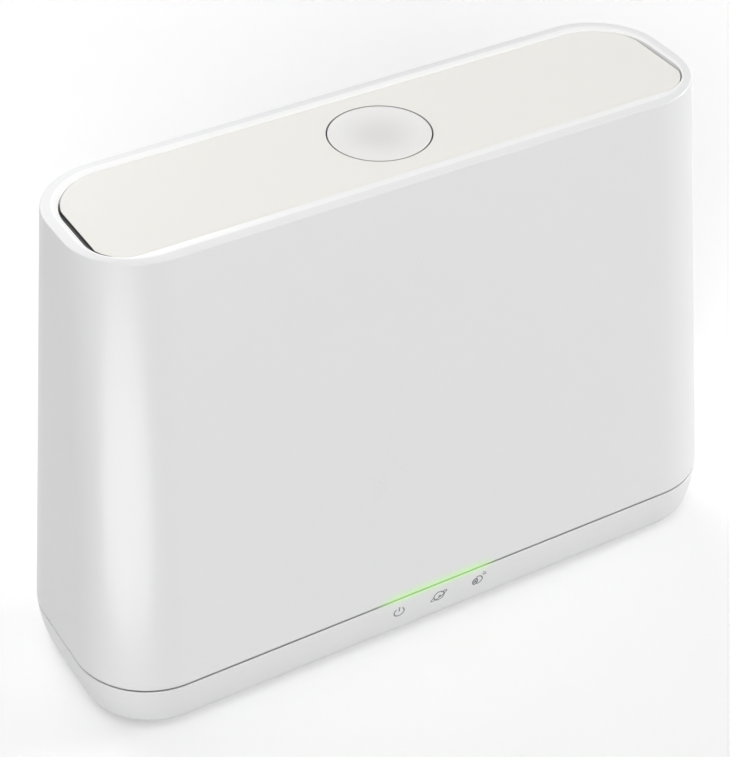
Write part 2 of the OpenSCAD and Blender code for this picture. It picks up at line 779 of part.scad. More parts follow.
module port_panel() {
  x = window_w / 2;
  color([0.9, 0.9, 0.9])
  difference() {
    union() {
      block([-x + port_gap, flange_y - 0.5, window_z0 + port_gap], [x - port_gap, bezel_y, window_z1 - port_gap]);
      block([-x - flange_w, flange_back, window_z0 - flange_w + 0.5], [x + flange_w, flange_y, window_z1 + flange_w]);
    }
    port_cuts(flange_back - 1, bezel_y + 1);
  }
}

module power_switch() {
  h = power_body / 2;
  color([0.12, 0.12, 0.13])
  difference() {
    block([power_x - h, power_front - power_body_l, board_top], [power_x + h, power_front, power_z + h]);
    rod(power_x, power_z, power_front - 5.2, power_front + 1, power_stem_r + run_gap);
  }
}

module power_button() {
  tip = bezel_y + power_out;
  back = bezel_y - power_cap_l;
  end = power_front - 5 + power_travel;
  color([0.85, 0.85, 0.85])
  translate([power_x, 0, power_z]) rotate([-90, 0, 0]) rotate_extrude() polygon([[0, end], [power_stem_r, end],
    [power_stem_r, back], [power_r, back], [power_r, tip - 0.6], [power_r - 0.18, tip - 0.18],
    [power_r - 0.6, tip], [0, tip]]);
}

module reset_switch() {
  color([0.12, 0.12, 0.13])
  difference() {
    block([reset_x - reset_w / 2, reset_front - reset_l, board_top],
      [reset_x + reset_w / 2, reset_front, board_top + reset_h]);
    rod(reset_x, reset_z, reset_front - 2, reset_front + 1, reset_plunger_r + run_gap);
  }
}

module reset_plunger() {
  color([0.75, 0.2, 0.15])
  rod(reset_x, reset_z, reset_front - 2 + reset_travel + 0.2, reset_tip, reset_plunger_r);
}

module network_shield() {
  x = eth_w / 2;
  s = eth_sheet;
  color("silver")
  difference() {
    block([eth_x - x, jack_front - eth_l, board_top], [eth_x + x, jack_front, board_top + eth_h]);
    block([eth_x - x + s, jack_front - eth_l + s, board_top - 1], [eth_x + x - s, jack_front + 1, board_top + eth_h - s]);
  }
}

module network_insert() {
  x = eth_w / 2 - eth_sheet - 0.05;
  color([0.13, 0.13, 0.14])
  difference() {
    block([eth_x - x, jack_front - eth_l + eth_sheet + 0.05, board_top],
      [eth_x + x, jack_front - 0.3, board_top + eth_h - eth_sheet - 0.05]);
    block([eth_x - eth_plug_w / 2, jack_front - eth_plug_l, eth_plug_z],
      [eth_x + eth_plug_w / 2, jack_front + 1, eth_plug_z + eth_plug_h]);
    block([eth_x - eth_latch_w / 2, jack_front - eth_plug_l + 4, eth_plug_z - eth_latch_h],
      [eth_x + eth_latch_w / 2, jack_front + 1, eth_plug_z + 1]);
  }
}

// Eight spring wires that hang from the plug cavity's roof and lean to the rear of it
module network_contacts() {
  color("gold")
  for (i = [0:7]) translate([eth_x + (i - 3.5) * 1.02, jack_front - 2.6, eth_plug_z + eth_plug_h - 0.4])
    rotate([13, 0, 0]) block([-0.22, -9.5, 0], [0.22, 0, 0.3]);
}

// Place of each USB jack
module usb_places() {
  for (i = [0, 1]) translate([usb_x - i * usb_pitch, jack_front, usb_z]) children();
}

module usb_shells() {
  s = usb_sheet;
  color("silver")
  usb_places() difference() {
    block([-usb_w / 2, -usb_l, 0], [usb_w / 2, 0, usb_h]);
    block([-usb_w / 2 + s, -usb_l - 1, s], [usb_w / 2 - s, 1, usb_h - s]);
  }
}

module usb_tongues() {
  x = usb_w / 2 - usb_sheet - run_gap;
  color([0.12, 0.12, 0.13])
  usb_places() union() {
    block([-x, -usb_l, usb_sheet + run_gap], [x, usb_block - usb_l, usb_h - usb_sheet - run_gap]);
    block([-usb_tongue_w / 2, usb_block / 2 - usb_l, usb_tongue_z],
      [usb_tongue_w / 2, -usb_tongue_in, usb_tongue_z + usb_tongue_t]);
  }
}

module usb_contacts() {
  color("gold")
  usb_places() for (x = [-usb_pin_x, -usb_pin_w, usb_pin_w, usb_pin_x])
    block([x - usb_pin_w / 2, usb_block - usb_l, usb_tongue_z - usb_pin_t],
      [x + usb_pin_w / 2, -2 * usb_tongue_in, usb_tongue_z]);
}

module inlet_body() {
  color([0.12, 0.12, 0.13])
  difference() {
    union() {
      block([dc_x - dc_w / 2, flange_back - 0.2 - dc_l, board_top], [dc_x + dc_w / 2, flange_back - 0.2, board_top + dc_h]);
      rod(dc_x, dc_z, flange_back - 1, jack_front, dc_nose_r);
    }
    rod(dc_x, dc_z, jack_front - dc_bore_l, jack_front + 1, dc_bore_r);
  }
}

module inlet_pin() {
  end = jack_front - 0.8;
  color("silver")
  translate([dc_x, 0, dc_z]) rotate([-90, 0, 0]) rotate_extrude() polygon([[0, jack_front - dc_bore_l],
    [dc_pin_r, jack_front - dc_bore_l], [dc_pin_r, end - 0.6], [dc_pin_r * 0.5, end], [0, end]]);
}

module processor() {
  color([0.15, 0.15, 0.16])
  board_part(chip_x, chip_y, [chip_w, chip_w, chip_h]);
}

// Block that stands on the board with its middle at a place
module board_part(x, y, size, lift = 0) {
  translate([x - size[0] / 2, y - size[1] / 2, board_top + lift]) cube(size);
}

module thermal_pad() {
  color([0.6, 0.65, 0.7])
  board_part(chip_x, chip_y, [chip_w - 2 * pad_in, chip_w - 2 * pad_in, pad_t], chip_h);
}

module heat_sink() {
  lift = chip_h + pad_t;
  color([0.35, 0.35, 0.37])
  difference() {
    board_part(chip_x, chip_y, [sink_w, sink_d, sink_h], lift);
    for (i = [0:fin_gaps - 1])
      board_part(chip_x + (i - (fin_gaps - 1) / 2) * fin_pitch, chip_y, [fin_gap, sink_d + 2, sink_h], lift + sink_base);
  }
}

// Pressed radio shield: a thin lid over the chips
module radio_can(x, size) {
  difference() {
    board_part(x, can_y, size);
    board_part(x, can_y, size - [2 * can_t, 2 * can_t, can_t - 1], -1);
  }
}

module radio_cans() {
  color("silver")
  union() {
    radio_can((chip_x - sink_w / 2 - board_screw_x + small_head_r) / 2, left_can);
    radio_can((line_x + line_size[0] / 2 + cap_x - cap_r) / 2, right_can);
  }
}

module line_transformer() {
  color([0.14, 0.14, 0.15])
  board_part(line_x, line_y, line_size);
}

module capacitors() {
  crimp = cap_r * 0.08;
  color([0.2, 0.22, 0.3])
  for (i = [-1:1]) translate([cap_x, cap_y + i * cap_pitch, board_top]) rotate_extrude() polygon([
    [0, 0], [cap_r, 0], [cap_r, cap_h * 0.11], [cap_r - crimp, cap_h * 0.15], [cap_r, cap_h * 0.19],
    [cap_r, cap_h - crimp], [cap_r - crimp, cap_h], [0, cap_h]]);
}

module coils() {
  color([0.3, 0.3, 0.32])
  for (i = [0, 1]) board_part(dc_x + dc_w / 2 + coil_room + coil_w / 2,
    board_back - coil_room - coil_w / 2 - i * (coil_w + coil_room), [coil_w, coil_w, coil_h]);
}

module wire_headers() {
  x = header_in - board_w / 2;
  hollow = header_size - 2 * [header_wall, header_wall, 0];
  color([0.92, 0.9, 0.84])
  for (i = [0, 1]) difference() {
    board_part(x + i * header_pitch, header_y, header_size);
    board_part(x + i * header_pitch, header_y, hollow, header_wall);
  }
}

// Moves the siren's own frame, with its rear face on z = 0, to its place
module siren_place() {
  translate([siren_x, siren_y, siren_z]) rotate([90, 0, 0]) children();
}

module siren_case() {
  inner = siren_r - siren_wall;
  color([0.18, 0.18, 0.19])
  siren_place() difference() {
    union() {
      rotate_extrude() polygon([[0, 0], [siren_r, 0], [siren_r, siren_d], [inner, siren_d], [inner, siren_d - siren_seat],
        [inner - siren_seat_w, siren_d - siren_seat], [inner - siren_seat_w, siren_wall], [0, siren_wall]]);
      for (s = [-1, 1]) {
        translate([s * siren_screw_x, 0, 0]) cylinder(r = siren_lug_r, h = siren_lug_t);
        translate([s * (siren_r + siren_screw_x - siren_wall / 2) / 2, 0, siren_lug_t / 2])
          cube([siren_screw_out + siren_wall / 2, 1.5 * siren_lug_r, siren_lug_t], center = true);
      }
    }
    for (s = [-1, 1]) post(s * siren_screw_x, 0, -1, siren_lug_t + 1, small_screw_r + screw_room);
  }
}

module siren_disc() {
  color("gold")
  siren_place() translate([0, 0, siren_d - siren_seat]) cylinder(r = siren_r - siren_wall - siren_gap, h = disc_t);
}

module siren_cap() {
  z = siren_d - siren_seat + disc_t;
  r = siren_r - siren_wall - siren_gap;
  face = siren_d - siren_cap_t;
  color([0.25, 0.25, 0.26])
  siren_place() difference() {
    rotate_extrude() polygon([[siren_mouth_r, face], [r - siren_wall, face], [r - siren_wall, z],
      [r, z], [r, siren_d], [siren_mouth_r, siren_d]]);
    for (a = [0:60:300]) rotate([0, 0, a]) translate([0, (siren_mouth_r + r - siren_wall) / 2, face - 1])
      cylinder(r = siren_hole_r, h = siren_cap_t + 2);
  }
}

module siren_screws() {
  color("silver")
  siren_place() for (s = [-1, 1]) translate([s * siren_screw_x, 0, siren_lug_t]) small_screw(siren_lug_t + siren_post_h - 1);
}

module antennas() {
  color([0.1, 0.4, 0.2])
  for (s = [-1, 1]) difference() {
    block([s * ant_x - (s + 1) / 2 * ant_t, -ant_w / 2, ant_z], [s * ant_x + (1 - s) / 2 * ant_t, ant_w / 2, ant_z + ant_h]);
    for (z = [peg_z0, peg_z0 + peg_pitch])
      translate([s * ant_x - 2, 0, z]) rotate([0, 90, 0]) cylinder(r = peg_pin_r + bite_room, h = 4);
  }
}

upper_shell();
top_panel();
sync_button();
sync_plunger();
sync_switch();
sync_board();
sync_screws();
base_tray();
light_bar();
rubber_feet();
base_screws();
main_board();
board_screws();
status_lights();
port_panel();
power_switch();
power_button();
reset_switch();
reset_plunger();
network_shield();
network_insert();
network_contacts();
usb_shells();
usb_tongues();
usb_contacts();
inlet_body();
inlet_pin();
processor();
thermal_pad();
heat_sink();
radio_cans();
line_transformer();
capacitors();
coils();
wire_headers();
siren_case();
siren_disc();
siren_cap();
siren_screws();
antennas();
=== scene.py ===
# %% [markdown]
# # Dressing a camera base station
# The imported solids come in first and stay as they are: they say where every piece sits and how
# it moves. Each piece that shows is then worked out again as a smooth surface in the same frame,
# in millimetres, and put into Blender in metres. The front faces -Y and the feet stand on z = 0.

# %% Load the frame
import math

import bmesh
import bpy
import numpy as np
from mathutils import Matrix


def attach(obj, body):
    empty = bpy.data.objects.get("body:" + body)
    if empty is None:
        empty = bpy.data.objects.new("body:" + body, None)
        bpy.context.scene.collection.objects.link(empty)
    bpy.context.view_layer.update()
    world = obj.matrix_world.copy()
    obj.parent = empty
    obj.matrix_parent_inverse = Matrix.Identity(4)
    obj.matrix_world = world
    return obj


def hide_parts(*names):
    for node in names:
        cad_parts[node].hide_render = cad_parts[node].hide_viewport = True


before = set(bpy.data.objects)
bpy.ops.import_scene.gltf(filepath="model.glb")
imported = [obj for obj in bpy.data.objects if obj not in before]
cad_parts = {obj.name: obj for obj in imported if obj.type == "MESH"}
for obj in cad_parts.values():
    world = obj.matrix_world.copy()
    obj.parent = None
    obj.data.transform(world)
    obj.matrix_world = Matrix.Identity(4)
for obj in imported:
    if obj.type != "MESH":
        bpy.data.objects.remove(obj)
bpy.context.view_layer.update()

MM = 0.001

# %% [markdown]
# ## The camera
# The picture looks down on the hub from its front left. A camera without shift keeps the other
# views true, so the aim alone is turned: 30 degrees to the right and 37 degrees down. The lens
# follows from how fast the hub narrows towards its far end: a long lens, about half a metre away.


# %% Camera
def show(name, data):
    """A new object of the given data, put into the scene."""
    obj = bpy.data.objects.new(name, data)
    bpy.context.scene.collection.objects.link(obj)
    return obj


PICTURE_H, FOCAL_PIXELS, SENSOR = 757, 2237.5, 36
view_camera = show("view_camera", bpy.data.cameras.new("view_camera"))
view_camera.location = (-0.21827, -0.36936, 0.38422)
view_camera.rotation_euler = (math.radians(52.641), 0, math.radians(-30.149))
view_camera.data.sensor_fit = "AUTO"
view_camera.data.sensor_width = SENSOR
view_camera.data.lens = FOCAL_PIXELS * SENSOR / PICTURE_H
bpy.context.scene.camera = view_camera
print("lens", round(view_camera.data.lens, 1), "mm")

# %% [markdown]
# ## Nodes in short
# Every finish below is a web of shader nodes. These helpers each make one node, link or set its
# inputs and give back the socket with its result, so nodes can be written inside one another like
# the terms of a formula.


# %% Node helpers
def new_material(name):
    """A material, its node tree and its Principled shader."""
    mat = bpy.data.materials.new(name)
    mat.use_nodes = True
    return mat, mat.node_tree, mat.node_tree.nodes["Principled BSDF"]


def feed(tree, socket, value):
    """Links an input to another node's output, or sets it to a number or a colour."""
    if hasattr(value, "is_output"):
        tree.links.new(value, socket)
    else:
        socket.default_value = value


def math_node(tree, operation, *values):
    """One Math node whose inputs are sockets or numbers."""
    node = tree.nodes.new("ShaderNodeMath")
    node.operation = operation
    for socket, value in zip(node.inputs, values):
        feed(tree, socket, value)
    return node.outputs[0]


def ramp(tree, value, low, high, start=0.0, stop=1.0, kind="LINEAR"):
    """One Map Range node: low where the value is at start or below, high from stop on, and a way between."""
    node = tree.nodes.new("ShaderNodeMapRange")
    node.interpolation_type = kind
    labels = ("Value", "From Min", "From Max", "To Min", "To Max")
    for label, given in zip(labels, (value, start, stop, low, high)):
        feed(tree, node.inputs[label], given)
    return node.outputs["Result"]


print("node helpers for Blender", bpy.app.version_string)

# %% [markdown]
# ## Floor, sky and lamps
# A white object on white needs shade to be seen, so four soft lamps differ in height and side: one
# from the front left makes the near corner the brightest edge and leaves the left end grey, a very
# low one brightens the right corner, one high up lights the top, and one behind the hub shows its
# back. The last two lay the soft shadow on the floor in front. A pale pool on the floor shows only
# in gloss, along the near corner. The floor looks white to the camera, but throws little light back.


# %% Floor and sky
def two_levels(tree, scattered, shown):
    """One number for scattered light and another for rays that show a surface as it is: those of the
    camera, of gloss and of glass."""
    path = tree.nodes.new("ShaderNodeLightPath").outputs
    plain = math_node(tree, "MAXIMUM", path["Is Camera Ray"], path["Is Glossy Ray"])
    plain = math_node(tree, "MAXIMUM", plain, path["Is Transmission Ray"])
    return ramp(tree, plain, scattered, shown)


def floor_material():
    """Pale floor: a matt white that takes the shadow, with a faint glow of its own to reach full white."""
    mat, tree, shader = new_material("pale_floor")
    tree.nodes.remove(shader)
    scatter = tree.nodes.new("ShaderNodeBsdfDiffuse")
    feed(tree, scatter.inputs["Color"], two_levels(tree, 0.42, 0.97))
    shown = tree.nodes.new("ShaderNodeEmission")
    feed(tree, shown.inputs["Strength"], two_levels(tree, 0.0, 0.14))
    both = tree.nodes.new("ShaderNodeAddShader")
    for socket, part in zip(both.inputs, (scatter, shown)):
        feed(tree, socket, part.outputs[0])
    feed(tree, tree.nodes["Material Output"].inputs["Surface"], both.outputs[0])
    return mat


HALF = 6
floor_points = [(-HALF, -HALF, 0), (HALF, -HALF, 0), (HALF, HALF, 0), (-HALF, HALF, 0)]
floor_mesh = bpy.data.meshes.new("floor")
floor_mesh.from_pydata(floor_points, [], [(0, 1, 2, 3)])
floor_mesh.materials.append(floor_material())
floor = show("floor", floor_mesh)

sky = bpy.data.worlds.new("studio_sky")
sky.use_nodes = True
backdrop = sky.node_tree.nodes["Background"].inputs
feed(sky.node_tree, backdrop["Color"], (1, 1, 1, 1))
feed(sky.node_tree, backdrop["Strength"], two_levels(sky.node_tree, 0.02, 1.0))
bpy.context.scene.world = sky
bpy.context.scene.view_settings.view_transform = "Standard"
print("floor", 2 * HALF, "m wide, sky", sky.name)


# %% Lamps
def lamp(name, energy, spread, tilt, turn):
    """A distant lamp: tilted away from straight down and turned about the vertical, in degrees."""
    light = show(name, bpy.data.lights.new(name, "SUN"))
    light.data.energy = energy
    light.data.angle = math.radians(spread)
    light.rotation_euler = (math.radians(tilt), 0, math.radians(turn))


lamp("left_lamp", 2.32, 36, 66, -35)
lamp("right_lamp", 2.70, 34, 80, 82)
lamp("top_lamp", 0.94, 70, -23, 0)
lamp("rear_lamp", 1.05, 44, -64, 0)

pool = show("floor_pool", bpy.data.lights.new("floor_pool", "AREA"))
pool.data.shape = "ELLIPSE"
pool.data.size, pool.data.size_y, pool.data.energy = 0.25, 0.18, 0.29
pool.location = (-0.214, -0.125, 0.001)
pool.rotation_euler = (math.pi, 0, math.radians(37.4))
pool.visible_camera = False
pool.visible_diffuse = False

# %% [markdown]
# ## Rounded rings
# Almost every outline on this hub is a rectangle with round corners that changes a little with
# height. One function gives such outlines for whole lists of widths, depths, radii and heights at
# once. Two extra points on the flats beside each corner keep the flats flat when they are shaded.


# %% Rings, lathe and skin
def rings(w, d, r, z, f=None, steps=24, near=1.2):
    """Rounded rectangles, one row for each height: a corner's centre lies at (w/2 - r, d/2 - r), and its
    points are that centre plus r times the cosine and sine of an angle that turns through 90 degrees.
    The front corners use f in place of r where it is given."""
    turn = np.concatenate([[0], np.linspace(0, 90, steps + 1), [90]])
    side = np.concatenate([[-near], np.zeros(steps + 1), [near]])
    angle = np.radians(turn[None] + 90 * np.arange(4)[:, None]).ravel()
    side = np.tile(side, 4)
    sx = np.repeat([1, -1, -1, 1], len(turn))
    sy = np.repeat([1, 1, -1, -1], len(turn))
    w, d, r, z, f = (np.asarray(v, float)[..., None] for v in (w, d, r, z, r if f is None else f))
    r = np.where(sy > 0, r, f)
    x = sx * (w / 2 - r) + r * np.cos(angle) - side * np.sin(angle)
    y = sy * (d / 2 - r) + r * np.sin(angle) + side * np.cos(angle)
    return np.stack(np.broadcast_arrays(x, y, z), -1)


def turned(profile, place=(0, 0, 0), axis="z", steps=96):
    """Lathe: each (radius, height) of the profile turns about an axis through the place. The point is the
    radius times the cosine and sine of the angle, and the height runs along the axis."""
    a = np.linspace(0, 2 * np.pi, steps, endpoint=False)
    r, h = np.asarray(profile, float).T[..., None]
    u, v, h = np.broadcast_arrays(r * np.cos(a), r * np.sin(a), h)
    order = {"z": (u, v, h), "y": (v, h, u), "x": (h, u, v)}[axis]
    return np.stack(order, -1) + np.asarray(place, float)


def skin(grid, wrap=False):
    """Quads between neighbouring rows and columns of a grid. Columns run round and close. Rows close too if
    wrap is set; otherwise a flat face shuts the first and the last row."""
    rows, cols = grid.shape[:2]
    i = np.arange(rows if wrap else rows - 1)[:, None]
    j = np.arange(cols)[None]
    k, l = (i + 1) % rows, (j + 1) % cols
    faces = [np.stack([i * cols + j, i * cols + l, k * cols + l, k * cols + j], -1).reshape(-1, 4)]
    if not wrap:
        faces += [j[:, ::-1], (rows - 1) * cols + j]
    return grid.reshape(-1, 3), faces


def joined(*skins):
    """Several skins as one: the corner numbers of each are counted on from those before it."""
    starts = np.cumsum([0] + [len(points) for points, _ in skins[:-1]])
    faces = [part + start for (_, parts), start in zip(skins, starts) for part in parts]
    return np.concatenate([points for points, _ in skins]), faces


def bend(radius, start, stop, steps=6):
    """Bend: (1 - cosine, sine) of an angle, times the radius, from one angle to another in degrees."""
    a = np.radians(np.linspace(start, stop, steps + 1))
    return radius * (1 - np.cos(a)), radius * np.sin(a)


print("ring points", rings(10, 10, 2, 0).shape[0])

# %% [markdown]
# ## From numbers to pieces
# A helper turns a skin into a Blender mesh, smooth except along real edges, and lets it ride on a
# body of the frame. Holes in the mouldings are cut the way a mould's cores cut them: by taking one
# closed skin from another, with the result put straight into the mesh.


# %% Mesh helpers
def mesh_of(name, part):
    """A skin's points, in metres, and its faces as a mesh."""
    points, faces = part
    mesh = bpy.data.meshes.new(name)
    mesh.from_pydata((points * MM).tolist(), [], [face for block in faces for face in block.tolist()])
    mesh.update()
    return mesh


def carve(mesh, part, how):
    """The mesh united with a skin, or with the skin taken from it, as an exact Boolean."""
    base = show("carve_base", mesh)
    tool = show("carve_tool", mesh_of("carve_tool", part))
    cut = base.modifiers.new("cut", "BOOLEAN")
    cut.operation = how
    cut.solver = "EXACT"
    cut.use_self = True
    cut.object = tool
    bpy.context.view_layer.update()
    result = bpy.data.meshes.new_from_object(base.evaluated_get(bpy.context.evaluated_depsgraph_get()))
    for obj in (base, tool):
        bpy.data.objects.remove(obj)
    return result


def marked(mesh, columns, rows, finishes):
    """Gives some rows of a grid's faces the second finish, the next rows the third, and so on, so that
    Booleans keep them there."""
    index = np.zeros(len(mesh.polygons), np.int32)
    for finish, (start, stop) in enumerate(rows, 1):
        index[start * columns:stop * columns] = finish
    mesh.polygons.foreach_set("material_index", index)
    for finish in finishes:
        mesh.materials.append(finish)
    return mesh


SHARP = 35


def piece(name, mesh, body, slot, material, *nodes):
    """Shows a mesh as a piece of the object that rides on a body and stands for CAD nodes."""
    index = np.zeros(len(mesh.polygons), np.int32)
    mesh.polygons.foreach_get("material_index", index)
    mesh.materials.clear()
    for finish in material if isinstance(material, list) else [material]:
        mesh.materials.append(finish)
    mesh.polygons.foreach_set("material_index", index)
    mesh.shade_smooth()
    mesh.set_sharp_from_angle(angle=math.radians(SHARP))
    obj = show(name, mesh)
    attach(obj, body)
    if nodes:
        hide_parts(*nodes)
    probe = bmesh.new()
    probe.from_mesh(mesh)
    print(name, len(mesh.polygons), "faces", round(probe.calc_volume(signed=True) * 1e9, 2), "mm3")
    probe.free()


print("edges over", SHARP, "degrees stay sharp")

# %% [markdown]
# ## What the mouldings share
# Moulded plastic is never one even tone. Its surface carries a fine grain from the mould and a
# slow drift in tone and gloss from how the melt cooled. Both are noise on the piece's own
# coordinates, so they form one node group that every plastic here uses with its own values.


# %% Node group for moulded grain
def new_group(name, inputs, outputs):
    """A shader group with float inputs (name, value) and float outputs, and its inner sockets for both."""
    tree = bpy.data.node_groups.new(name, "ShaderNodeTree")
    for label, value in inputs:
        tree.interface.new_socket(label, in_out="INPUT", socket_type="NodeSocketFloat").default_value = value
    for label in outputs:
        tree.interface.new_socket(label, in_out="OUTPUT", socket_type="NodeSocketFloat")
    return tree, tree.nodes.new("NodeGroupInput").outputs, tree.nodes.new("NodeGroupOutput").inputs


def coords(tree):
    """Where a point lies on its own piece."""
    return tree.nodes.new("ShaderNodeTexCoord").outputs["Object"]


def noise(tree, vector, scale, detail=2.0):
    """A noise texture that reads a vector. Its scale is a socket or a number."""
    node = tree.nodes.new("ShaderNodeTexNoise")
    for label, value in (("Vector", vector), ("Scale", scale), ("Detail", detail)):
        feed(tree, node.inputs[label], value)
    return node.outputs["Fac"]


def grain_group():
    """Moulded grain: Height is a fine noise for a bump, Drift a slow one for tone, and Gloss is the two
    mixed and spread between a lowest and a highest roughness."""
    tree, given, out = new_group(
        "moulded_grain",
        [("Grain Scale", 2500), ("Drift Scale", 25), ("Gloss Low", 0.25), ("Gloss High", 0.35)],
        ["Height", "Drift", "Gloss"],
    )
    fine = noise(tree, coords(tree), given["Grain Scale"])
    slow = noise(tree, coords(tree), given["Drift Scale"], detail=4.0)
    blend = math_node(tree, "MULTIPLY_ADD", fine, 0.35, slow)
    gloss = ramp(tree, blend, given["Gloss Low"], given["Gloss High"], 0.4, 0.95)
    for label, value in (("Height", fine), ("Drift", slow), ("Gloss", gloss)):
        feed(tree, out[label], value)
    return tree


moulded_grain = grain_group()
print("group", moulded_grain.name)

# %% [markdown]
# ## The painted glow of the seam
# A light bar glows inside the seam at the front. On the real hub the white plastic beside it lets some of
# that light through, so the edges above and below turn pale green. Here that is painted light: a mask on
# Object coordinates paints a green tone and emission into the plastic, strong at the seam, gone three
# millimetres from it, and fading out towards the ends of the bar.


# %% Node group for the seam's glow
def axis_of(tree, name):
    """One axis of the Object coordinates."""
    split = tree.nodes.new("ShaderNodeSeparateXYZ")
    feed(tree, split.inputs[0], coords(tree))
    return split.outputs[name]


def soft_edge(tree, value, near, far):
    """One where the value is below near, zero above far, and a smooth step between."""
    return ramp(tree, value, 1, 0, near, far, "SMOOTHSTEP")


GLOW_Z, GLOW_NEAR, GLOW_FAR = 0.0133, -0.0010, 0.0031
GLOW_ENDS, GLOW_FRONT = (0.0115, 0.0180), (-0.0280, -0.0262)


def glow_group():
    """Seam glow: how near a point is to the bar, from its height over the seam and its distance from the
    middle of the front. Halo is one at the seam and zero where the glow ends."""
    tree, _, out = new_group("seam_glow", [], ["Halo"])
    across = math_node(tree, "ABSOLUTE", axis_of(tree, "X"))
    height = math_node(tree, "ABSOLUTE", math_node(tree, "SUBTRACT", axis_of(tree, "Z"), GLOW_Z))
    ends = soft_edge(tree, across, *GLOW_ENDS)
    there = math_node(tree, "MULTIPLY", ends, soft_edge(tree, axis_of(tree, "Y"), *GLOW_FRONT))
    halo = math_node(tree, "MULTIPLY", there, soft_edge(tree, height, GLOW_NEAR, GLOW_FAR))
    feed(tree, out["Halo"], halo)
    return tree


seam_glow = glow_group()
print("group", seam_glow.name)

# %% [markdown]
# ## The painted shade of the button
# The button's cap looks as pale as the panel round its edge and greyer towards its middle, where it is
# dished. That greyer middle is painted shade: a second mask, one on the button's axis and falling smoothly to
# zero at its edge, darkens the cap's colour there.


# %% Node group for the button's shade
def dish_group():
    """Dish shade: the distance from the Z axis, taken from one on the axis down to zero at the edge."""
    tree, _, out = new_group("dish_shade", [], ["Dish"])
    x, y = axis_of(tree, "X"), axis_of(tree, "Y")
    square = math_node(tree, "MULTIPLY_ADD", x, x, math_node(tree, "MULTIPLY", y, y))
    feed(tree, out["Dish"], soft_edge(tree, math_node(tree, "SQRT", square), 0.0005, 0.0118))
    return tree


dish_shade = dish_group()
print("group", dish_shade.name)

# %% [markdown]
# ## Plastics
# The finishes differ in tone, gloss and grain, not in kind, so one function builds them: two tones mixed by
# the slow drift, a roughness that follows the grain, and a bump so fine that it only softens the reflections.
# The cover and the tray also take the seam's glow as painted light, and the button a painted shade in its
# dish.


# %% Plastic finishes
def tone_mix(tree, factor, one, two):
    """Two colours mixed by a factor that varies over the surface. Each is a colour or a socket."""
    node = tree.nodes.new("ShaderNodeMix")
    node.data_type = "RGBA"
    for socket, value in ((node.inputs[6], one), (node.inputs[7], two)):
        feed(tree, socket, value if hasattr(value, "is_output") else (*value, 1))
    feed(tree, node.inputs[0], factor)
    return node.outputs[2]


def placed(tree, group):
    """A node group's place in a material."""
    node = tree.nodes.new("ShaderNodeGroup")
    node.node_tree = group
    return node


def add_bump(tree, shader, height, strength, depth=0.00005):
    """Lets a height tilt the shader's normal."""
    bump = tree.nodes.new("ShaderNodeBump")
    for label, value in (("Strength", strength), ("Distance", depth), ("Height", height)):
        feed(tree, bump.inputs[label], value)
    feed(tree, shader.inputs["Normal"], bump.outputs["Normal"])


IOR, DRIFT = 1.49, 25


def plastic(name, light, dark, gloss, grain=(2500, 0.003), glow=None, dish=None):
    """Moulded plastic: light and dark tones, gloss as (lowest, highest) roughness, grain as (scale, bump).
    Glow gives the painted tone and painted light (emission) where the seam's glow is painted on, dish the
    painted shade in the middle of the button."""
    mat, tree, shader = new_material(name)
    shader.inputs["IOR"].default_value = IOR
    mould = placed(tree, moulded_grain)
    for socket, value in zip(mould.inputs, (grain[0], DRIFT, *gloss)):
        feed(tree, socket, value)
    colour = tone_mix(tree, mould.outputs["Drift"], dark, light)
    # painted shade: the dish's middle is darkened
    if dish:
        colour = tone_mix(tree, placed(tree, dish_shade).outputs["Dish"], colour, dish)
    if glow:
        # painted light: the seam's green glow, as tone and emission in the plastic
        halo = placed(tree, seam_glow).outputs["Halo"]
        feed(tree, shader.inputs["Emission Color"], tone_mix(tree, halo, (0, 0, 0), glow[1]))
        shader.inputs["Emission Strength"].default_value = 1.0
        colour = tone_mix(tree, halo, colour, glow[0])
    feed(tree, shader.inputs["Base Color"], colour)
    feed(tree, shader.inputs["Roughness"], mould.outputs["Gloss"])
    add_bump(tree, shader, mould.outputs["Height"], grain[1])
    return mat


# painted light: tone and emission of the seam's glow on the cover and tray, and a stronger one in the groove
shining = ((0.66, 0.83, 0.53), (0.02, 0.15, 0.01))
seam_shine = ((0.42, 0.52, 0.22), (0.20, 0.42, 0.07))
mouldings = [
    plastic("cover_white", (0.825, 0.825, 0.83), (0.818, 0.818, 0.823), (0.27, 0.31), glow=shining),
    # painted highlight: a brighter white for the rim's inner band and the slot walls
    plastic("rim_painted_highlight", (0.98, 0.98, 0.975), (0.965, 0.965, 0.96), (0.16, 0.24)),
    plastic("panel_warm", (0.875, 0.86, 0.82), (0.86, 0.845, 0.805), (0.38, 0.5), (3200, 0.02)),
    # the dish colour is a painted shade for the button's middle
    plastic("button_warm", (0.86, 0.855, 0.84), (0.85, 0.845, 0.83), (0.3, 0.4), dish=(0.73, 0.725, 0.715)),
    # painted light: the tray's white is a little lighter than the cover's, to make up for the less light its
    # drawn-in sides get
    plastic("tray_gloss", (0.845, 0.845, 0.85), (0.835, 0.835, 0.84), (0.28, 0.34), glow=shining),
    # painted shade: dark grey on the walls of the gap round the button
    plastic("ring_painted_shade", (0.34, 0.33, 0.33), (0.28, 0.27, 0.27), (0.5, 0.65), (1800, 0.05)),
    # painted shade: grey on the lip's top so the seam reads as a dark line
    plastic("lip_painted_shade", (0.55, 0.54, 0.54), (0.49, 0.48, 0.48), (0.5, 0.65), (1500, 0.05), glow=shining),
    # painted light: the groove behind the lip takes the stronger painted glow
    plastic("groove_painted_glow", (0.86,) * 3, (0.80,) * 3, (0.55, 0.7), (1500, 0.05), glow=seam_shine),
]
cover_white, rim_painted_highlight, panel_warm, button_warm, tray_gloss, ring_painted_shade, lip_painted_shade, groove_painted_glow = mouldings
print("finishes", [finish.name for finish in mouldings])
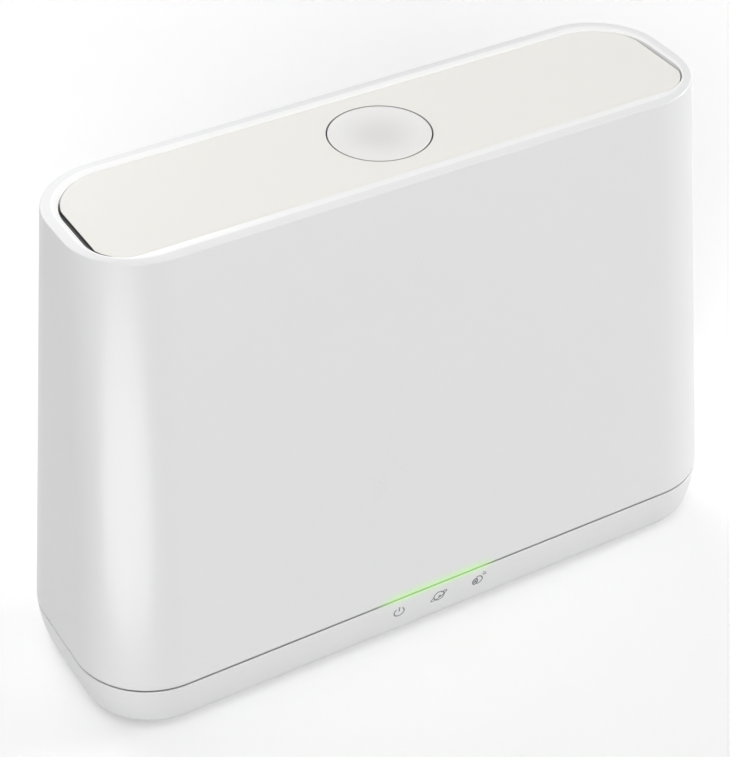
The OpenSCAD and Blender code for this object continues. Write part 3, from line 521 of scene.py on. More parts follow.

# %% [markdown]
# ## The cover
# The cover is one deep moulding with straight walls that flare towards the seam. It could start as a box with
# bevels, but then the flare and the growing corner radius would be by eye. Here each row is an outline: from
# a fine drip edge up the outer wall, over the rim, down the sloped sound slots, across the ledge and back
# down inside. Width, depth and radius all change in a straight line with height. The rim's top falls a little
# outwards. Its inner band and the sloped walls of the slots below it are painted brighter as a highlight, so
# that part takes a second finish.

# %% Cover
BODY_W, BODY_D, SEAM_R, SEAM_Z = 175.0, 58.5, 19.6, 13.3
TOP_W, TOP_D, TOP_R, TOP_Z = 157.6, 42.8, 17.4, 125.5
WALL, COVER_Z, LEDGE_Z, ROOF_Z = 2.2, 13.6, 123.45, 121.65
DRIP_Z, DRIP_IN, DRIP_ROUND = 13.2, 0.28, 0.12
RIM_FALL, RIM_ROUND, POCKET_ROUND = 0.18, 0.3, 0.1
RIM = np.array([TOP_W, TOP_D, TOP_R, TOP_R])
BAND = np.array([153.0, 38.2, 15.1, 13.8])
POCKET = np.array([150.9, 33.9, 14.5, 9.5])
SLOT_FOOT = np.array([149.7, 33.9, 13.9, 8.9])
WAY = np.array([149.5, 28.9, 7.9, 7.9])


def wall_rows(z, inset):
    """Width, depth, radius, height and front radius of the wall's outline, moved in by an inset. The share
    of the way down from the rim to the seam scales the difference between the two outlines."""
    z, inset = np.broadcast_arrays(np.asarray(z, float), np.asarray(inset, float))
    share = (TOP_Z - z) / (TOP_Z - SEAM_Z)
    r = TOP_R + (SEAM_R - TOP_R) * share - inset
    w = TOP_W + (BODY_W - TOP_W) * share - 2 * inset
    d = TOP_D + (BODY_D - TOP_D) * share - 2 * inset
    return np.stack([w, d, r, z, r])


def outline_rows(plan, inset, z):
    """The same five values for a fixed plan (width, depth, radius, front radius), moved in by an inset."""
    inset, z = np.broadcast_arrays(np.asarray(inset, float), np.asarray(z, float))
    return np.stack([plan[0] - 2 * inset, plan[1] - 2 * inset, plan[2] - inset, z, plan[-1] - inset])


def mixed_rows(one, two, share, z):
    """Outlines part of the way from one plan to another: one plus a share of the difference."""
    share, z = np.broadcast_arrays(np.asarray(share, float), np.asarray(z, float))
    w, d, r, f = one[:, None] + (two - one)[:, None] * share.reshape(1, -1)
    return np.stack([w, d, r, z.reshape(-1), f])


def one_profile(*rows):
    """Groups of outlines set behind one another, and the number of the row at which each group starts."""
    rows = [row.reshape(5, -1) for row in rows]
    return np.concatenate(rows, 1), np.cumsum([0] + [row.shape[1] for row in rows])


def cover_rows():
    """The cover's closed profile, from the inner wall's foot round the outside and back, and the rows at
    which the painted highlight starts and ends: the rim's inner band and the sloped slot walls."""
    low_in, low_up = bend(DRIP_ROUND, 90, 0, 4)
    rim_in, rim_up = bend(RIM_ROUND, 0, 90, 6)
    pocket_in, pocket_up = bend(POCKET_ROUND, 90, 0, 3)
    fall = np.array([0.3, 0.6, 0.9])
    profile, starts = one_profile(
        wall_rows(COVER_Z, WALL),
        wall_rows([COVER_Z, COVER_Z, DRIP_Z + 0.02, DRIP_Z], [0.6, DRIP_IN, DRIP_IN, DRIP_IN - 0.02]),
        wall_rows(DRIP_Z + DRIP_ROUND - low_up, low_in),
        wall_rows([COVER_Z + 0.8, 40, 70, 100, TOP_Z - 1.2], 0),
        outline_rows(RIM, rim_in, TOP_Z - RIM_FALL - RIM_ROUND + rim_up),
        mixed_rows(RIM, BAND, fall, TOP_Z - RIM_FALL * (1 - fall)),
        mixed_rows(RIM, BAND, [1.0, 1.03], TOP_Z),
        outline_rows(POCKET, -pocket_in, TOP_Z - POCKET_ROUND + pocket_up),
        outline_rows(SLOT_FOOT, [0, 0], [TOP_Z - 1.4, LEDGE_Z]),
        outline_rows(WAY, 0, [LEDGE_Z, ROOF_Z]),
        wall_rows([ROOF_Z, ROOF_Z - 1, 60, COVER_Z + 0.6], WALL),
    )
    # painted highlight: rows from the rim's inner band down the slot walls take the brighter finish
    bright = (starts[6], starts[9] - 1)
    return profile, bright


cover_profile, painted_highlight_rows = cover_rows()
cover_grid = rings(*cover_profile)
print("cover profile", cover_profile.shape[1], "rows, bright band", painted_highlight_rows)

# %% [markdown]
# Inside the cover stand the parts that hold it together: four screw bosses, the frame of the port
# window, posts for the siren and pegs for the antennas. They are turned or boxed skins that are
# united with the wall, and the window and the screw holes are then taken out of the whole.


# %% Inside of the cover
def box(low, high, r=0.4, edge=0.2, axis="z", steps=4):
    """Box with round edges between two corners: a rounded outline that starts and ends one edge radius
    smaller, carried along an axis."""
    order = {"z": (0, 1, 2), "y": (2, 0, 1)}[axis]
    low, high = np.asarray(low, float)[list(order)], np.asarray(high, float)[list(order)]
    size, mid = high - low, (low + high) / 2
    inset, up = bend(edge, 90, 0, steps)
    inset = np.concatenate([inset, inset[::-1]])
    z = np.concatenate([low[2] + edge - up, (high[2] - edge + up)[::-1]])
    plan = (size[0], size[1], r)
    grid = rings(*outline_rows(plan, inset, z), steps=steps, near=min(size[:2]) * 0.1)
    grid[..., :2] += mid[:2]
    return grid[..., list(np.argsort(order))]


def rod(radius, start, stop):
    """Profile of a plain rod along its axis."""
    return [(radius, start), (radius, stop)]


corner_signs = [(sx, sy) for sx in (-1, 1) for sy in (-1, 1)]


def four(profile, x, y, steps=32):
    """One turned part in each corner, at plus and minus x and y."""
    return [skin(turned(profile, (sx * x, sy * y, 0), steps=steps)) for sx, sy in corner_signs]


BOSS = (77.163, 18.913)
SIREN_X, SIREN_Z, SIREN_HALF = -38, 82, 24.5
REAR_Y = 27.7108
FLANGE_Y = REAR_Y - 3.6

bosses = four(rod(3.5, 15.8, 38.8), *BOSS)
bores = four(rod(1.5, 10, 29.8), *BOSS, 24)
siren_post = rod(3.6, 18.2, 23.5)
siren_posts = [skin(turned(siren_post, (SIREN_X + s * SIREN_HALF, 0, SIREN_Z), "y", 32)) for s in (-1, 1)]
pegs = [
    skin(turned(rod(2.6, s * 72.4, s * (78.6 + more))[::s], (0, 0, z), "x", 24))
    for s in (-1, 1) for z, more in ((64, 3.6), (98, 1.0))
]
port_frame = skin(box((-49.6, FLANGE_Y, 16.1), (49.6, REAR_Y - 0.5, 35.3), 0.8, 0.2, "y"))
window = skin(box((-48, FLANGE_Y - 3, 17.7), (48, 40, 33.7), 0.6, 0.05, "y"))

cover_mesh = mesh_of("cover", skin(cover_grid, wrap=True))
cover_mesh = marked(cover_mesh, cover_grid.shape[1], [painted_highlight_rows], (cover_white, rim_painted_highlight))
cover_mesh = carve(cover_mesh, joined(*bosses, *siren_posts, *pegs, port_frame), "UNION")
cover_mesh = carve(cover_mesh, joined(window, *bores), "DIFFERENCE")
piece("cover", cover_mesh, "hub", "shell_white", [cover_white, rim_painted_highlight], "upper_shell")

# %% [markdown]
# ## The top panel
# A thin warm-white plate lies flush in the rim, with a round hole for the button. A hole in a plate
# could be a Boolean, but then its edge has no round. Here the plate is one sheet on a polar grid:
# for each angle seen from the middle, the rows run from the plate's outline in to the hole, down
# the collar that guides the button and back out underneath.


# %% Top panel
PANEL = np.array([149.5, 33.7, 13.8, 8.8])
PANEL_END = 74.35
PANEL_Z, HOLE_R, COLLAR_Z, COLLAR_R = 125.45, 12.0, 118.95, 13.5
EDGE_ROUND, HOLE_ROUND = 0.12, 0.05


def reach(angle, inset):
    """How far the plate reaches from its middle along each angle: half the width over the cosine on the
    ends, half the depth over the sine on the long sides, a circle's far side at the corners, and never
    past the straight cut at each end."""
    w, d, r, f = PANEL - inset * np.array([2, 2, 1, 1])
    c, s = np.abs(np.cos(angle)) + 1e-12, np.abs(np.sin(angle)) + 1e-12
    q = np.where(np.sin(angle) > 0, r, f)
    a, b = w / 2 - q, d / 2 - q
    end, side = w / 2 / c, d / 2 / s
    mid = c * a + s * b
    corner = mid + np.sqrt(np.maximum(mid**2 - a**2 - b**2 + q**2, 0))
    whole = np.where(end * s <= b, end, np.where(side * c <= a, side, corner))
    return np.minimum(whole, (PANEL_END - inset) / c)


def panel_grid():
    """The plate's closed sheet: outline rows by reach, hole and collar rows as circles, at shared angles.
    The angles take in the corners and the points where the straight ends meet them."""
    w, d, r, f = PANEL
    corner = rings(w, d, r, 0, f, steps=16)[:, :2]
    cut = [d / 2 - r + math.sqrt(r**2 - (PANEL_END - w / 2 + r) ** 2),
           f - d / 2 - math.sqrt(f**2 - (PANEL_END - w / 2 + f) ** 2)]
    corner = np.concatenate([corner, [(x, y) for x in (-PANEL_END, PANEL_END) for y in cut]])
    even = np.radians(np.arange(-180, 180, 2.25))
    angle = np.unique(np.concatenate([np.arctan2(corner[:, 1], corner[:, 0]), even]))
    edge_in, edge_up = bend(EDGE_ROUND, 0, 90, 4)
    hole_in, hole_up = bend(HOLE_ROUND, 90, 0, 2)
    outer_in = np.concatenate([[0], edge_in, [0.6]])
    outer_z = np.concatenate([[LEDGE_Z], PANEL_Z - EDGE_ROUND + edge_up, [PANEL_Z]])
    outer = np.stack([reach(angle, i) for i in outer_in])
    inner_r = np.concatenate([[HOLE_R + 0.6], HOLE_R + hole_in, [HOLE_R, COLLAR_R, COLLAR_R]])
    inner_z = np.concatenate([[PANEL_Z], PANEL_Z - HOLE_ROUND + hole_up, [COLLAR_Z, COLLAR_Z, LEDGE_Z]])
    radius = np.concatenate([outer, np.repeat(inner_r[:, None], len(angle), 1)])
    z = np.repeat(np.concatenate([outer_z, inner_z])[:, None], len(angle), 1)
    return np.stack([radius * np.cos(angle), radius * np.sin(angle), z], -1)


def hook(x, side):
    """Snap hook under the plate's long edge: an arm and a foot that reaches under the cover's ledge."""
    y = np.sort(side * np.array([[12.8, 14.2], [13.5, 15.3]]), axis=1)
    return [skin(box((x - 3.5, y[0, 0], 120.1), (x + 3.5, y[0, 1], LEDGE_Z + 0.5), 0.3)),
            skin(box((x - 3.5, y[1, 0], 120.1), (x + 3.5, y[1, 1], 121.45), 0.3))]


post = [(1.25, 117), (1.25, 111.05), (2.6, 111.05), (2.8, 111.25), (2.8, 124)]
panel_posts = [skin(turned(post, (19 * s, 0, 0), steps=32)) for s in (-1, 1)]
hooks = [part for x in (-42, 42) for side in (-1, 1) for part in hook(x, side)]
plate = panel_grid()
# the rows of the hole's wall, from under its round edge to the foot of the collar; they are painted dark grey
# as the shade in the gap round the button
collar_rows = (8, len(plate) - 2)
panel_mesh = mesh_of("lid", skin(plate, wrap=True))
panel_mesh = marked(panel_mesh, plate.shape[1], [collar_rows], (panel_warm, ring_painted_shade))
panel_mesh = carve(panel_mesh, joined(*hooks, *panel_posts), "UNION")
piece("lid", panel_mesh, "hub", "panel_white", [panel_warm, ring_painted_shade], "top_panel")

# %% [markdown]
# Between each straight end of the panel and the rim lies a crescent slot that lets the siren's sound out. Its
# darkness is painted shade: a dark ribbon with a woven look runs along the panel's edge inside the slot, and
# it turns paler low down as painted light. It is a thin tube along the plate's own outline, woven by two
# crossed waves in its material.


# %% Gauze in the slots
def stripes(tree, direction, scale):
    """Soft bands across one axis, from zero to one and back."""
    wave = tree.nodes.new("ShaderNodeTexWave")
    wave.bands_direction = direction
    feed(tree, wave.inputs["Scale"], scale)
    feed(tree, wave.inputs["Vector"], coords(tree))
    return wave.outputs["Fac"]


def woven(name, thread, gap, foot, scale):
    """Dark woven look for painted shade: two crossed waves multiplied give threads and the gaps between them,
    and a paler second tone, painted light, comes in towards the foot with a smooth step in height."""
    mat, tree, shader = new_material(name)
    shader.inputs["Roughness"].default_value = 0.85
    weave = math_node(tree, "MULTIPLY", stripes(tree, "Y", scale), stripes(tree, "Z", scale))
    low = soft_edge(tree, axis_of(tree, "Z"), 0.1237, 0.1251)
    weave_tone = tone_mix(tree, weave, gap, thread)
    feed(tree, shader.inputs["Base Color"], tone_mix(tree, low, weave_tone, foot))
    add_bump(tree, shader, weave, 0.3)
    return mat


def shade_ribbon(turn):
    """A ribbon on the plate's edge about one end: at each angle a small upright section, 0.02 to 0.12 mm
    outside the plate's reach."""
    angle = np.radians(turn)[:, None]
    out = reach(angle, 0.0) + np.array([0.02, 0.12, 0.12, 0.02])
    z = np.broadcast_to([123.47, 123.47, 125.33, 125.33], out.shape)
    return skin(np.stack([out * np.cos(angle), out * np.sin(angle), z], -1)[:, ::-1])


# painted shade: a dark ribbon in each slot, paler at its foot as painted light
slot_painted_shade = woven("slot_painted_shade", (0.05, 0.05, 0.05), (0.02, 0.02, 0.02), (0.42, 0.42, 0.42), 900)
ribbons = [shade_ribbon(np.linspace(start, start + 18.4, 90)) for start in (-11.2, 172.8)]
piece("slot_shade_ribbon", mesh_of("slot_shade_ribbon", joined(*ribbons)), "hub", "soft_pad", slot_painted_shade)

# %% [markdown]
# ## The sync button
# The button is a cap with a shallow dish for a fingertip. It is turned on a lathe, so its whole
# shape is one profile of radius against height: across the dish, over a small round at the rim,
# down the skirt and back up to the stem. Three snap feet keep it in the collar.


# %% Sync button
CAP_R, CAP_ROUND, DISH_R, DISH_DEEP = 11.65, 0.06, 10.85, 0.5
SKIRT_Z, SKIRT_IN, CAP_UNDER, STEM_R, STEM_Z = 118.65, 10.05, 123.35, 2.4, 115.3
# the skirt's outside, counted from the stem
CAP_STEPS, SKIRT_ROWS = 160, (4, 6)


def button_profile():
    """Radius and height: the dish sinks by (1 - q squared) to the power 1.5, where q is the share of the
    dish's radius; then a flat border, a round edge, the skirt and the stem."""
    q = np.linspace(0.02, 1, 32)
    dish = np.stack([DISH_R * q, PANEL_Z - DISH_DEEP * (1 - q**2) ** 1.5], 1)
    edge_in, edge_up = bend(CAP_ROUND, 90, 0, 3)
    edge = np.stack([CAP_R - edge_in, PANEL_Z - CAP_ROUND + edge_up], 1)
    skirt = [(CAP_R, SKIRT_Z), (SKIRT_IN, SKIRT_Z), (SKIRT_IN, CAP_UNDER)]
    stem = [(STEM_R, CAP_UNDER), (STEM_R, STEM_Z), (0.3, STEM_Z)]
    return np.concatenate([dish, [(11.0, PANEL_Z)], edge, skirt, stem])[::-1]


def snap_foot(turn):
    """A foot under the skirt: two small boxes on the +X side, turned about the button's axis."""
    c, s = math.cos(math.radians(turn)), math.sin(math.radians(turn))
    low, highs = (SKIRT_IN, -3, 117.25), ((11.15, 3, 119.6), (12.8, 3, SKIRT_Z))
    x, y, z = np.moveaxis([box(low, high, 0.2, 0.1) for high in highs], -1, 0)
    return [skin(grid) for grid in np.stack([x * c - y * s, x * s + y * c, z], -1)]


button_mesh = mesh_of("sync_cap", skin(turned(button_profile(), steps=CAP_STEPS)))
# painted shade: the skirt's outside is dark grey, as the shade in the gap round the button
button_mesh = marked(button_mesh, CAP_STEPS, [SKIRT_ROWS], (button_warm, ring_painted_shade))
snaps = [part for turn in (30, 150, 270) for part in snap_foot(turn)]
button_mesh = carve(button_mesh, joined(*snaps), "UNION")
piece("sync_cap", button_mesh, "sync", "button_white", [button_warm, ring_painted_shade], "sync_button")

# %% [markdown]
# ## The base tray
# The tray closes the hub from below. Its sides draw in towards the floor on a slow bend, which makes the hub
# seem to float. A thin lip faces the seam with a shaded groove behind it, so the seam reads as one fine dark
# line from every side; the lip's top is painted grey as shade, and the groove takes a stronger painted glow.
# The tray's white is painted a little lighter than the cover's. It is a sweep like the cover, with a floor,
# and then the air slots, screw wells and seats for the feet are cut.

# %% Base tray
TRAY_Z, TRAY_TOP, FLOOR_Z = 0.8, 13.0, 3.0
LIP_Z, LIP_W, GROOVE_Z, GROOVE_IN, TONGUE_Z, TONGUE_IN = 12.65, 0.5, 11.8, 2.7, 15.6, 3.8
LOW_ROUND, LIP_ROUND, BACK_ROUND = 1.5, 0.25, 0.15
SEAM = np.array([BODY_W, BODY_D, SEAM_R, SEAM_R])


def drawn_in(z):
    """How far the tray's side lies inside the seam's outline: 2 mm times the share of the way down to the
    power 1.7."""
    return 2 * np.maximum((TRAY_TOP - z) / (TRAY_TOP - TRAY_Z), 0) ** 1.7


def tray_rows(z, extra):
    """The tray's outline at a height, moved in by an extra inset for the rounds."""
    z, extra = np.broadcast_arrays(np.asarray(z, float), np.asarray(extra, float))
    return outline_rows(SEAM, drawn_in(z) + extra, z)


def tray_profile():
    """From the underside out over the round lower edge, up the side, over the thin lip, down into the groove
    behind it, up over the tongue and down to the floor inside. Also the rows of the lip's top, painted grey
    as shade, and of the groove, with its painted glow."""
    low_in, low_up = bend(LOW_ROUND, 0, 90, 10)
    lip_in, lip_up = bend(LIP_ROUND, 0, 90, 6)
    back_in, back_up = bend(BACK_ROUND, 90, 0, 3)
    tongue_in = [GROOVE_IN, GROOVE_IN + 0.15, TONGUE_IN - 0.15, TONGUE_IN]
    profile, starts = one_profile(
        tray_rows([TRAY_Z, TRAY_Z], [3.2, 2.2]),
        tray_rows(TRAY_Z + low_in, LOW_ROUND - low_up),
        tray_rows(np.linspace(TRAY_Z + 1.8, LIP_Z - 0.4, 14), 0),
        tray_rows(LIP_Z - LIP_ROUND + lip_up, lip_in),
        outline_rows(SEAM, LIP_W - back_in, LIP_Z - BACK_ROUND + back_up),
        outline_rows(SEAM, [LIP_W, GROOVE_IN, GROOVE_IN], [GROOVE_Z, GROOVE_Z, TRAY_TOP]),
        outline_rows(SEAM, tongue_in, [TONGUE_Z - 0.2, TONGUE_Z, TONGUE_Z, TONGUE_Z - 0.2]),
        outline_rows(SEAM, TONGUE_IN, [TRAY_TOP, FLOOR_Z]),
    )
    # painted shade on the lip's top rows, painted glow on the groove's rows
    lip_top, groove = (starts[4] - 4, starts[5] - 1), (starts[5] - 1, starts[6])
    return profile, [lip_top, groove]


def air_slot(x):
    """A slot through the floor with round ends, 18 mm long and 2.4 mm wide."""
    grid = rings([2.4, 2.4], [18, 18], [1.19, 1.19], [-1, 4], steps=8, near=0.004)
    return skin(grid + np.array([x, 0, 0]))


BOARD_POST, FOOT, BAR_END = (64, 17), (58, 15), 13
posts = four(rod(4.4, 2, 12.5), *BOSS) + four(rod(3.5, 2, 15.6), *BOSS)
posts += four(rod(3.2, 2, 16.9), *BOARD_POST)
bar_rests = [
    skin(box((s * BAR_END - 1, -25.95, 2), (s * BAR_END + 1, -21.45, TRAY_TOP), 0.2)) for s in (-1, 1)
]
wells = four(rod(2.85, 0, 7), *BOSS, 48) + four(rod(1.7, 0, 20), *BOSS)
wells += four(rod(1.25, 10.9, 20), *BOARD_POST)
foot_seats = four(rod(5.2, 0, 1.5), *FOOT, 64)
air_slots = [air_slot(7 * i) for i in range(-6, 7)]
bar_notch = skin(box((-17, -27.05, TRAY_TOP), (17, -24.45, 20), 0.1, 0.02))

tray_side, seam_rows = tray_profile()
tray_grid = rings(*tray_side)
tray_finishes = [tray_gloss, lip_painted_shade, groove_painted_glow]
tray_mesh = marked(mesh_of("tray", skin(tray_grid)), tray_grid.shape[1], seam_rows, tray_finishes)
tray_mesh = carve(tray_mesh, joined(*posts, *bar_rests), "UNION")
tray_mesh = carve(tray_mesh, joined(*wells, *foot_seats, *air_slots, bar_notch), "DIFFERENCE")
piece("tray", tray_mesh, "hub", "tray_white", tray_finishes, "base_tray")

# %% [markdown]
# ## Signs on the tray
# Three small grey signs are printed under the seam light: power, network and camera. Print is a thin
# film of ink, so each line is a flat ribbon on the tray's face: a path in the face's plane, widened
# to both sides along its normal and laid on the curve of the tray. They are plain signs of their kind.


# %% Printed signs
def stroke(path, closed=False, width=0.34):
    """A ribbon along a path of (x, z) points: the normal is the tangent turned by 90 degrees. Its section
    is a flat box that stands 0.02 mm out of the tray's face."""
    path = np.asarray(path, float)
    ahead = np.roll(path, -1, 0) - np.roll(path, 1, 0)
    if not closed:
        ahead[0], ahead[-1] = path[1] - path[0], path[-1] - path[-2]
    ahead /= np.linalg.norm(ahead, axis=1, keepdims=True)
    normal = np.stack([-ahead[:, 1], ahead[:, 0]], 1)
    flat = path[:, None] + normal[:, None] * (width / 2 * np.array([1, -1, -1, 1]))[None, :, None]
    y = drawn_in(flat[..., 1]) - BODY_D / 2 + np.array([0.03, 0.03, -0.02, -0.02])
    grid = np.stack([flat[..., 0], y, flat[..., 1]], -1)
    return skin(grid[:, ::-1], wrap=closed)


def arc(x, z, rx, rz, start=0.0, stop=360.0, lean=0.0, steps=40):
    """Part of an ellipse about (x, z): radii times cosine and sine, leaned by an angle."""
    a = np.radians(np.linspace(start, stop, steps, endpoint=(stop - start) < 360))
    u, v, t = rx * np.cos(a), rz * np.sin(a), math.radians(lean)
    return np.stack([x + u * math.cos(t) - v * math.sin(t), z + u * math.sin(t) + v * math.cos(t)], 1)


signs = [
    stroke(arc(-10.9, 8.45, 1.4, 1.4, 125, 415)),
    stroke([(-10.9, 8.6), (-10.9, 10.15)]),
    stroke(arc(0.5, 8.5, 1.45, 1.45), True),
    stroke(arc(0.45, 8.5, 2.45, 0.66, 118, 422, 28), width=0.28),
    stroke(arc(0.7, 8.3, 0.2, 0.2), True, 0.34),
    stroke(arc(11.0, 8.35, 0.66, 1.0), True, 0.42),
    stroke(arc(11.0, 8.35, 0.2, 0.3), True, 0.34),
    stroke(arc(11.75, 8.6, 1.3, 1.3, -118, 118)),
    stroke(arc(12.85, 9.75, 0.62, 0.62, -10, 80, steps=12), width=0.24),
    stroke(arc(12.85, 9.75, 1.12, 1.12, -5, 75, steps=14), width=0.24),
]
sign_ink = plastic("sign_ink", (0.23, 0.23, 0.24), (0.19, 0.19, 0.20), (0.45, 0.6), (3000, 0.05))
piece("tray_signs", mesh_of("tray_signs", joined(*signs)), "hub", "key_plastic", sign_ink)

# %% [markdown]
# ## Metals and boards
# The sockets, screws and boards are seen only through openings, but they still need true finishes.
# Rolled and plated metal is streaked in one direction, so its noise is stretched by a Mapping node.
# A circuit board is lacquer over copper: two sets of fine lines, taken in turn by a slow noise.


# %% Metal and board finishes
STREAKS = 900


def metal(name, light, dark, rough, stretch):
    """Metal: a noise stretched along one axis mixes two tones and spreads the roughness."""
    mat, tree, shader = new_material(name)
    shader.inputs["Metallic"].default_value = 1.0
    streak = tree.nodes.new("ShaderNodeMapping")
    feed(tree, streak.inputs["Scale"], stretch)
    feed(tree, streak.inputs["Vector"], coords(tree))
    lines = noise(tree, streak.outputs["Vector"], STREAKS, detail=3.0)
    feed(tree, shader.inputs["Base Color"], tone_mix(tree, lines, dark, light))
    feed(tree, shader.inputs["Roughness"], ramp(tree, lines, *rough))
    return mat


def board_lacquer(name, lacquer, track):
    """Circuit board: waves along X and Y, chosen by a slow noise and cut to thin lines, show the copper."""
    mat, tree, shader = new_material(name)
    shader.inputs["Roughness"].default_value = 0.35
    along, across = (math_node(tree, "GREATER_THAN", stripes(tree, axis, 250), 0.62) for axis in "XY")
    choice = math_node(tree, "GREATER_THAN", noise(tree, coords(tree), 90), 0.5)
    other = math_node(tree, "SUBTRACT", 1.0, choice)
    copper = math_node(tree, "MULTIPLY_ADD", along, choice, math_node(tree, "MULTIPLY", across, other))
    feed(tree, shader.inputs["Base Color"], tone_mix(tree, copper, lacquer, track))
    add_bump(tree, shader, copper, 0.2, 0.00003)
    return mat


zinc_steel = metal("zinc_steel", (0.62, 0.62, 0.64), (0.50, 0.50, 0.52), (0.25, 0.42), (1, 1, 0.2))
tin_steel = metal("tin_steel", (0.74, 0.74, 0.75), (0.64, 0.64, 0.66), (0.22, 0.38), (1, 0.1, 1))
gold_plate = metal("gold_plate", (0.90, 0.70, 0.30), (0.78, 0.58, 0.22), (0.18, 0.32), (1, 0.1, 1))
dark_anodised = metal("dark_anodised", (0.10, 0.10, 0.11), (0.06, 0.06, 0.065), (0.35, 0.5), (0.1, 1, 1))
pale_can = metal("pale_can", (0.66, 0.67, 0.69), (0.55, 0.56, 0.58), (0.25, 0.4), (1, 1, 0.15))
green_lacquer = board_lacquer("green_lacquer", (0.020, 0.13, 0.055), (0.045, 0.22, 0.10))
print("metals", [m.name for m in (zinc_steel, tin_steel, gold_plate, dark_anodised, pale_can)])

# %% [markdown]
# ## The light bar and the solids that stay
# Most inner solids already have their true shape, so they stay as they are and only take a finish.
# The light bar is clear plastic lit by three small lamps: its glow is strongest over each lamp, and a
# cosine along the bar gives that. Every other solid takes the finish of its material slot.


# %% Finishes for the solids that stay
LAMP_STEP = 0.0114


def lit_guide_material():
    """Clear guide lit from inside: the light is a cosine along X with one crest over each lamp."""
    mat, tree, shader = new_material("lit_guide")
    shader.inputs["Roughness"].default_value = 0.2
    shader.inputs["Emission Strength"].default_value = 1.0
    turn = math_node(tree, "MULTIPLY", axis_of(tree, "X"), 2 * math.pi / LAMP_STEP)
    crest = math_node(tree, "MULTIPLY_ADD", math_node(tree, "COSINE", turn), 0.5, 0.5)
    feed(tree, shader.inputs["Emission Color"], tone_mix(tree, crest, (0.20, 0.40, 0.07), (0.28, 0.50, 0.10)))
    cloud = noise(tree, coords(tree), 400)
    feed(tree, shader.inputs["Base Color"], tone_mix(tree, cloud, (0.14, 0.22, 0.08), (0.20, 0.28, 0.11)))
    return mat


lit_guide = lit_guide_material()
lamp_lens = plastic("lamp_lens", (0.85, 0.88, 0.70), (0.78, 0.82, 0.62), (0.1, 0.2))
sole_rubber = plastic("sole_rubber", (0.075, 0.075, 0.078), (0.045, 0.045, 0.047), (0.65, 0.85), (1200, 0.5))
dark_moulding = plastic("dark_moulding", (0.04, 0.04, 0.043), (0.022, 0.022, 0.024), (0.4, 0.55), (2200, 0.1))
port_satin = plastic("port_satin", (0.76, 0.76, 0.77), (0.72, 0.72, 0.73), (0.4, 0.5), (2600, 0.15))
key_satin = plastic("key_satin", (0.50, 0.50, 0.51), (0.44, 0.44, 0.45), (0.35, 0.45), (2600, 0.1))
grey_pad = plastic("grey_pad", (0.52, 0.57, 0.62), (0.44, 0.49, 0.54), (0.8, 0.95), (900, 0.4))
cream_nylon = plastic("cream_nylon", (0.84, 0.80, 0.70), (0.78, 0.74, 0.64), (0.4, 0.55), (2000, 0.1))
finishes = {
    "shell_white": cover_white, "panel_white": panel_warm, "button_white": button_warm,
    "tray_white": tray_gloss, "light_guide": lit_guide, "led_lens": lamp_lens, "foot_rubber": sole_rubber,
    "screw_steel": zinc_steel, "sheet_steel": tin_steel, "circuit_board": green_lacquer,
    "black_plastic": dark_moulding, "port_plastic": port_satin, "key_plastic": key_satin,
    "contact_gold": gold_plate, "soft_pad": grey_pad, "black_aluminium": dark_anodised,
    "can_aluminium": pale_can, "header_plastic": cream_nylon,
}
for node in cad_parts.values():
    for holder in node.material_slots:
        holder.material = finishes[holder.material.name.split(".")[0]]
print("finishes on", len(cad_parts), "solids")

# %% [markdown]
# ## The rear bezel
# A recessed plate frames the sockets. It is a real moulding with soft edges, so it is made again: a
# plate and its flange, with an opening for each socket. The round openings are lathe tools with a
# flared mouth, which leaves a chamfer round the inlet, the power button and the reset hole.


# %% Rear bezel
BEZEL_Y, FLANGE_BACK = REAR_Y - 1.6, FLANGE_Y - 1.8
POWER_AT, INLET_AT, RESET_AT = (24, 24.5), (37, 25.0), (-8, 21.9)


def opening(place, radius, flare):
    """A turned tool along Y, at x and z, that widens at the bezel's face."""
    profile = [(radius, 20), (radius, BEZEL_Y - flare), (radius + 2 * flare, BEZEL_Y + flare)]
    return skin(turned(profile, (place[0], 0, place[1]), "y", 64))


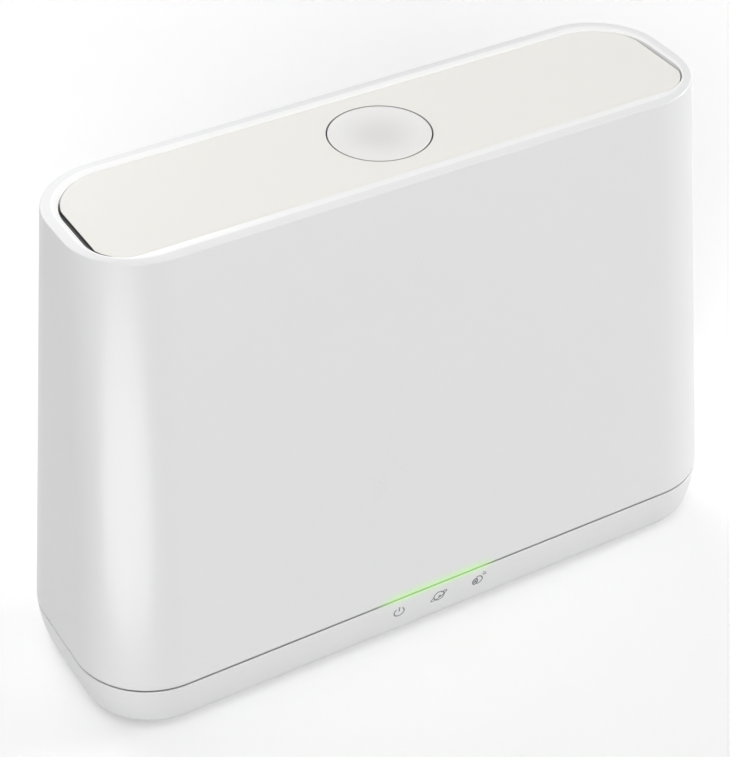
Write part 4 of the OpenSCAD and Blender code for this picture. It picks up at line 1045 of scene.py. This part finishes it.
bezel_plate = skin(box((-47.8, FLANGE_Y - 0.5, 17.9), (47.8, BEZEL_Y, 33.5), 0.8, 0.25, "y", 6))
bezel_flange = skin(box((-49.8, FLANGE_BACK, 16.4), (49.8, FLANGE_Y, 35.5), 0.8, 0.1, "y"))
mouths = [skin(box((-1.2, 20, 18.4), (15.2, 30, 32.1), 0.4, 0.05, "y"))]
mouths += [skin(box((x - 6.75, 20, 18.4), (x + 6.75, 30, 24.4), 0.4, 0.05, "y")) for x in (-21, -38)]
mouths += [opening(INLET_AT, 4.1, 0.25), opening(POWER_AT, 3.7, 0.2), opening(RESET_AT, 1.0, 0.25)]
bezel_mesh = carve(mesh_of("rear_bezel", bezel_plate), bezel_flange, "UNION")
bezel_mesh = carve(bezel_mesh, joined(*mouths), "DIFFERENCE")
piece("rear_bezel", bezel_mesh, "hub", "port_plastic", port_satin, "port_panel")

# %% [markdown]
# ## Power button, feet and screws
# These are turned parts, so each is a profile on the lathe: the power button has a shallow dish and a
# round edge, a foot has a ring-shaped tread, and a screw has a domed head with a cross cut into it.

# %% Turned parts
KEY_R, KEY_ROUND, KEY_Y, KEY_BACK = 3.4, 0.5, 27.41, 23.51
key_edge = np.array([KEY_R, KEY_Y]) + np.stack(bend(KEY_ROUND, 90, 0, 6), 1) * [-1, 1]
key_face = [(0.2, 27.76), (1.6, 27.80), (2.5, 27.89)]
key_stem = [(KEY_R, KEY_BACK), (1.6, KEY_BACK), (1.6, 17.91), (0.2, 17.91)]
key_profile = np.concatenate([key_face, key_edge, key_stem])[::-1]
key_mesh = mesh_of("power_key", skin(turned(key_profile, (POWER_AT[0], 0, POWER_AT[1]), "y", 64)))
piece("power_key", key_mesh, "power", "key_plastic", key_satin, "power_button")

tread = [(0.3, 0.25), (2.9, 0.25), (3.1, 0.05), (3.2, 0.0), (4.5, 0.0)]
tread += [(4.8, 0.08), (4.95, 0.25), (5.0, 0.5), (5.0, 1.5), (0.3, 1.5)]
sole_mesh = mesh_of("soles", joined(*four(tread, *FOOT, 64)))
piece("soles", sole_mesh, "hub", "foot_rubber", sole_rubber, "rubber_feet")

head = [(0.2, 5.2), (1.2, 5.24), (1.95, 5.42), (2.4, 5.75), (2.6, 6.15), (2.6, 7.0)]
shank = [(1.45, 7.0), (1.45, 23.8), (0.72, 25.0), (0.2, 25.0)]
cross = [
    skin(box((sx * BOSS[0] - u, sy * BOSS[1] - v, 4.5), (sx * BOSS[0] + u, sy * BOSS[1] + v, 6.1), 0.1, 0.05))
    for sx, sy in corner_signs for u, v in ((1.5, 0.3), (0.3, 1.5))
]
screw_mesh = mesh_of("base_fixings", joined(*four(head + shank, *BOSS, 48)))
screw_mesh = carve(screw_mesh, joined(*cross), "DIFFERENCE")
piece("base_fixings", screw_mesh, "hub", "screw_steel", zinc_steel, "base_screws")
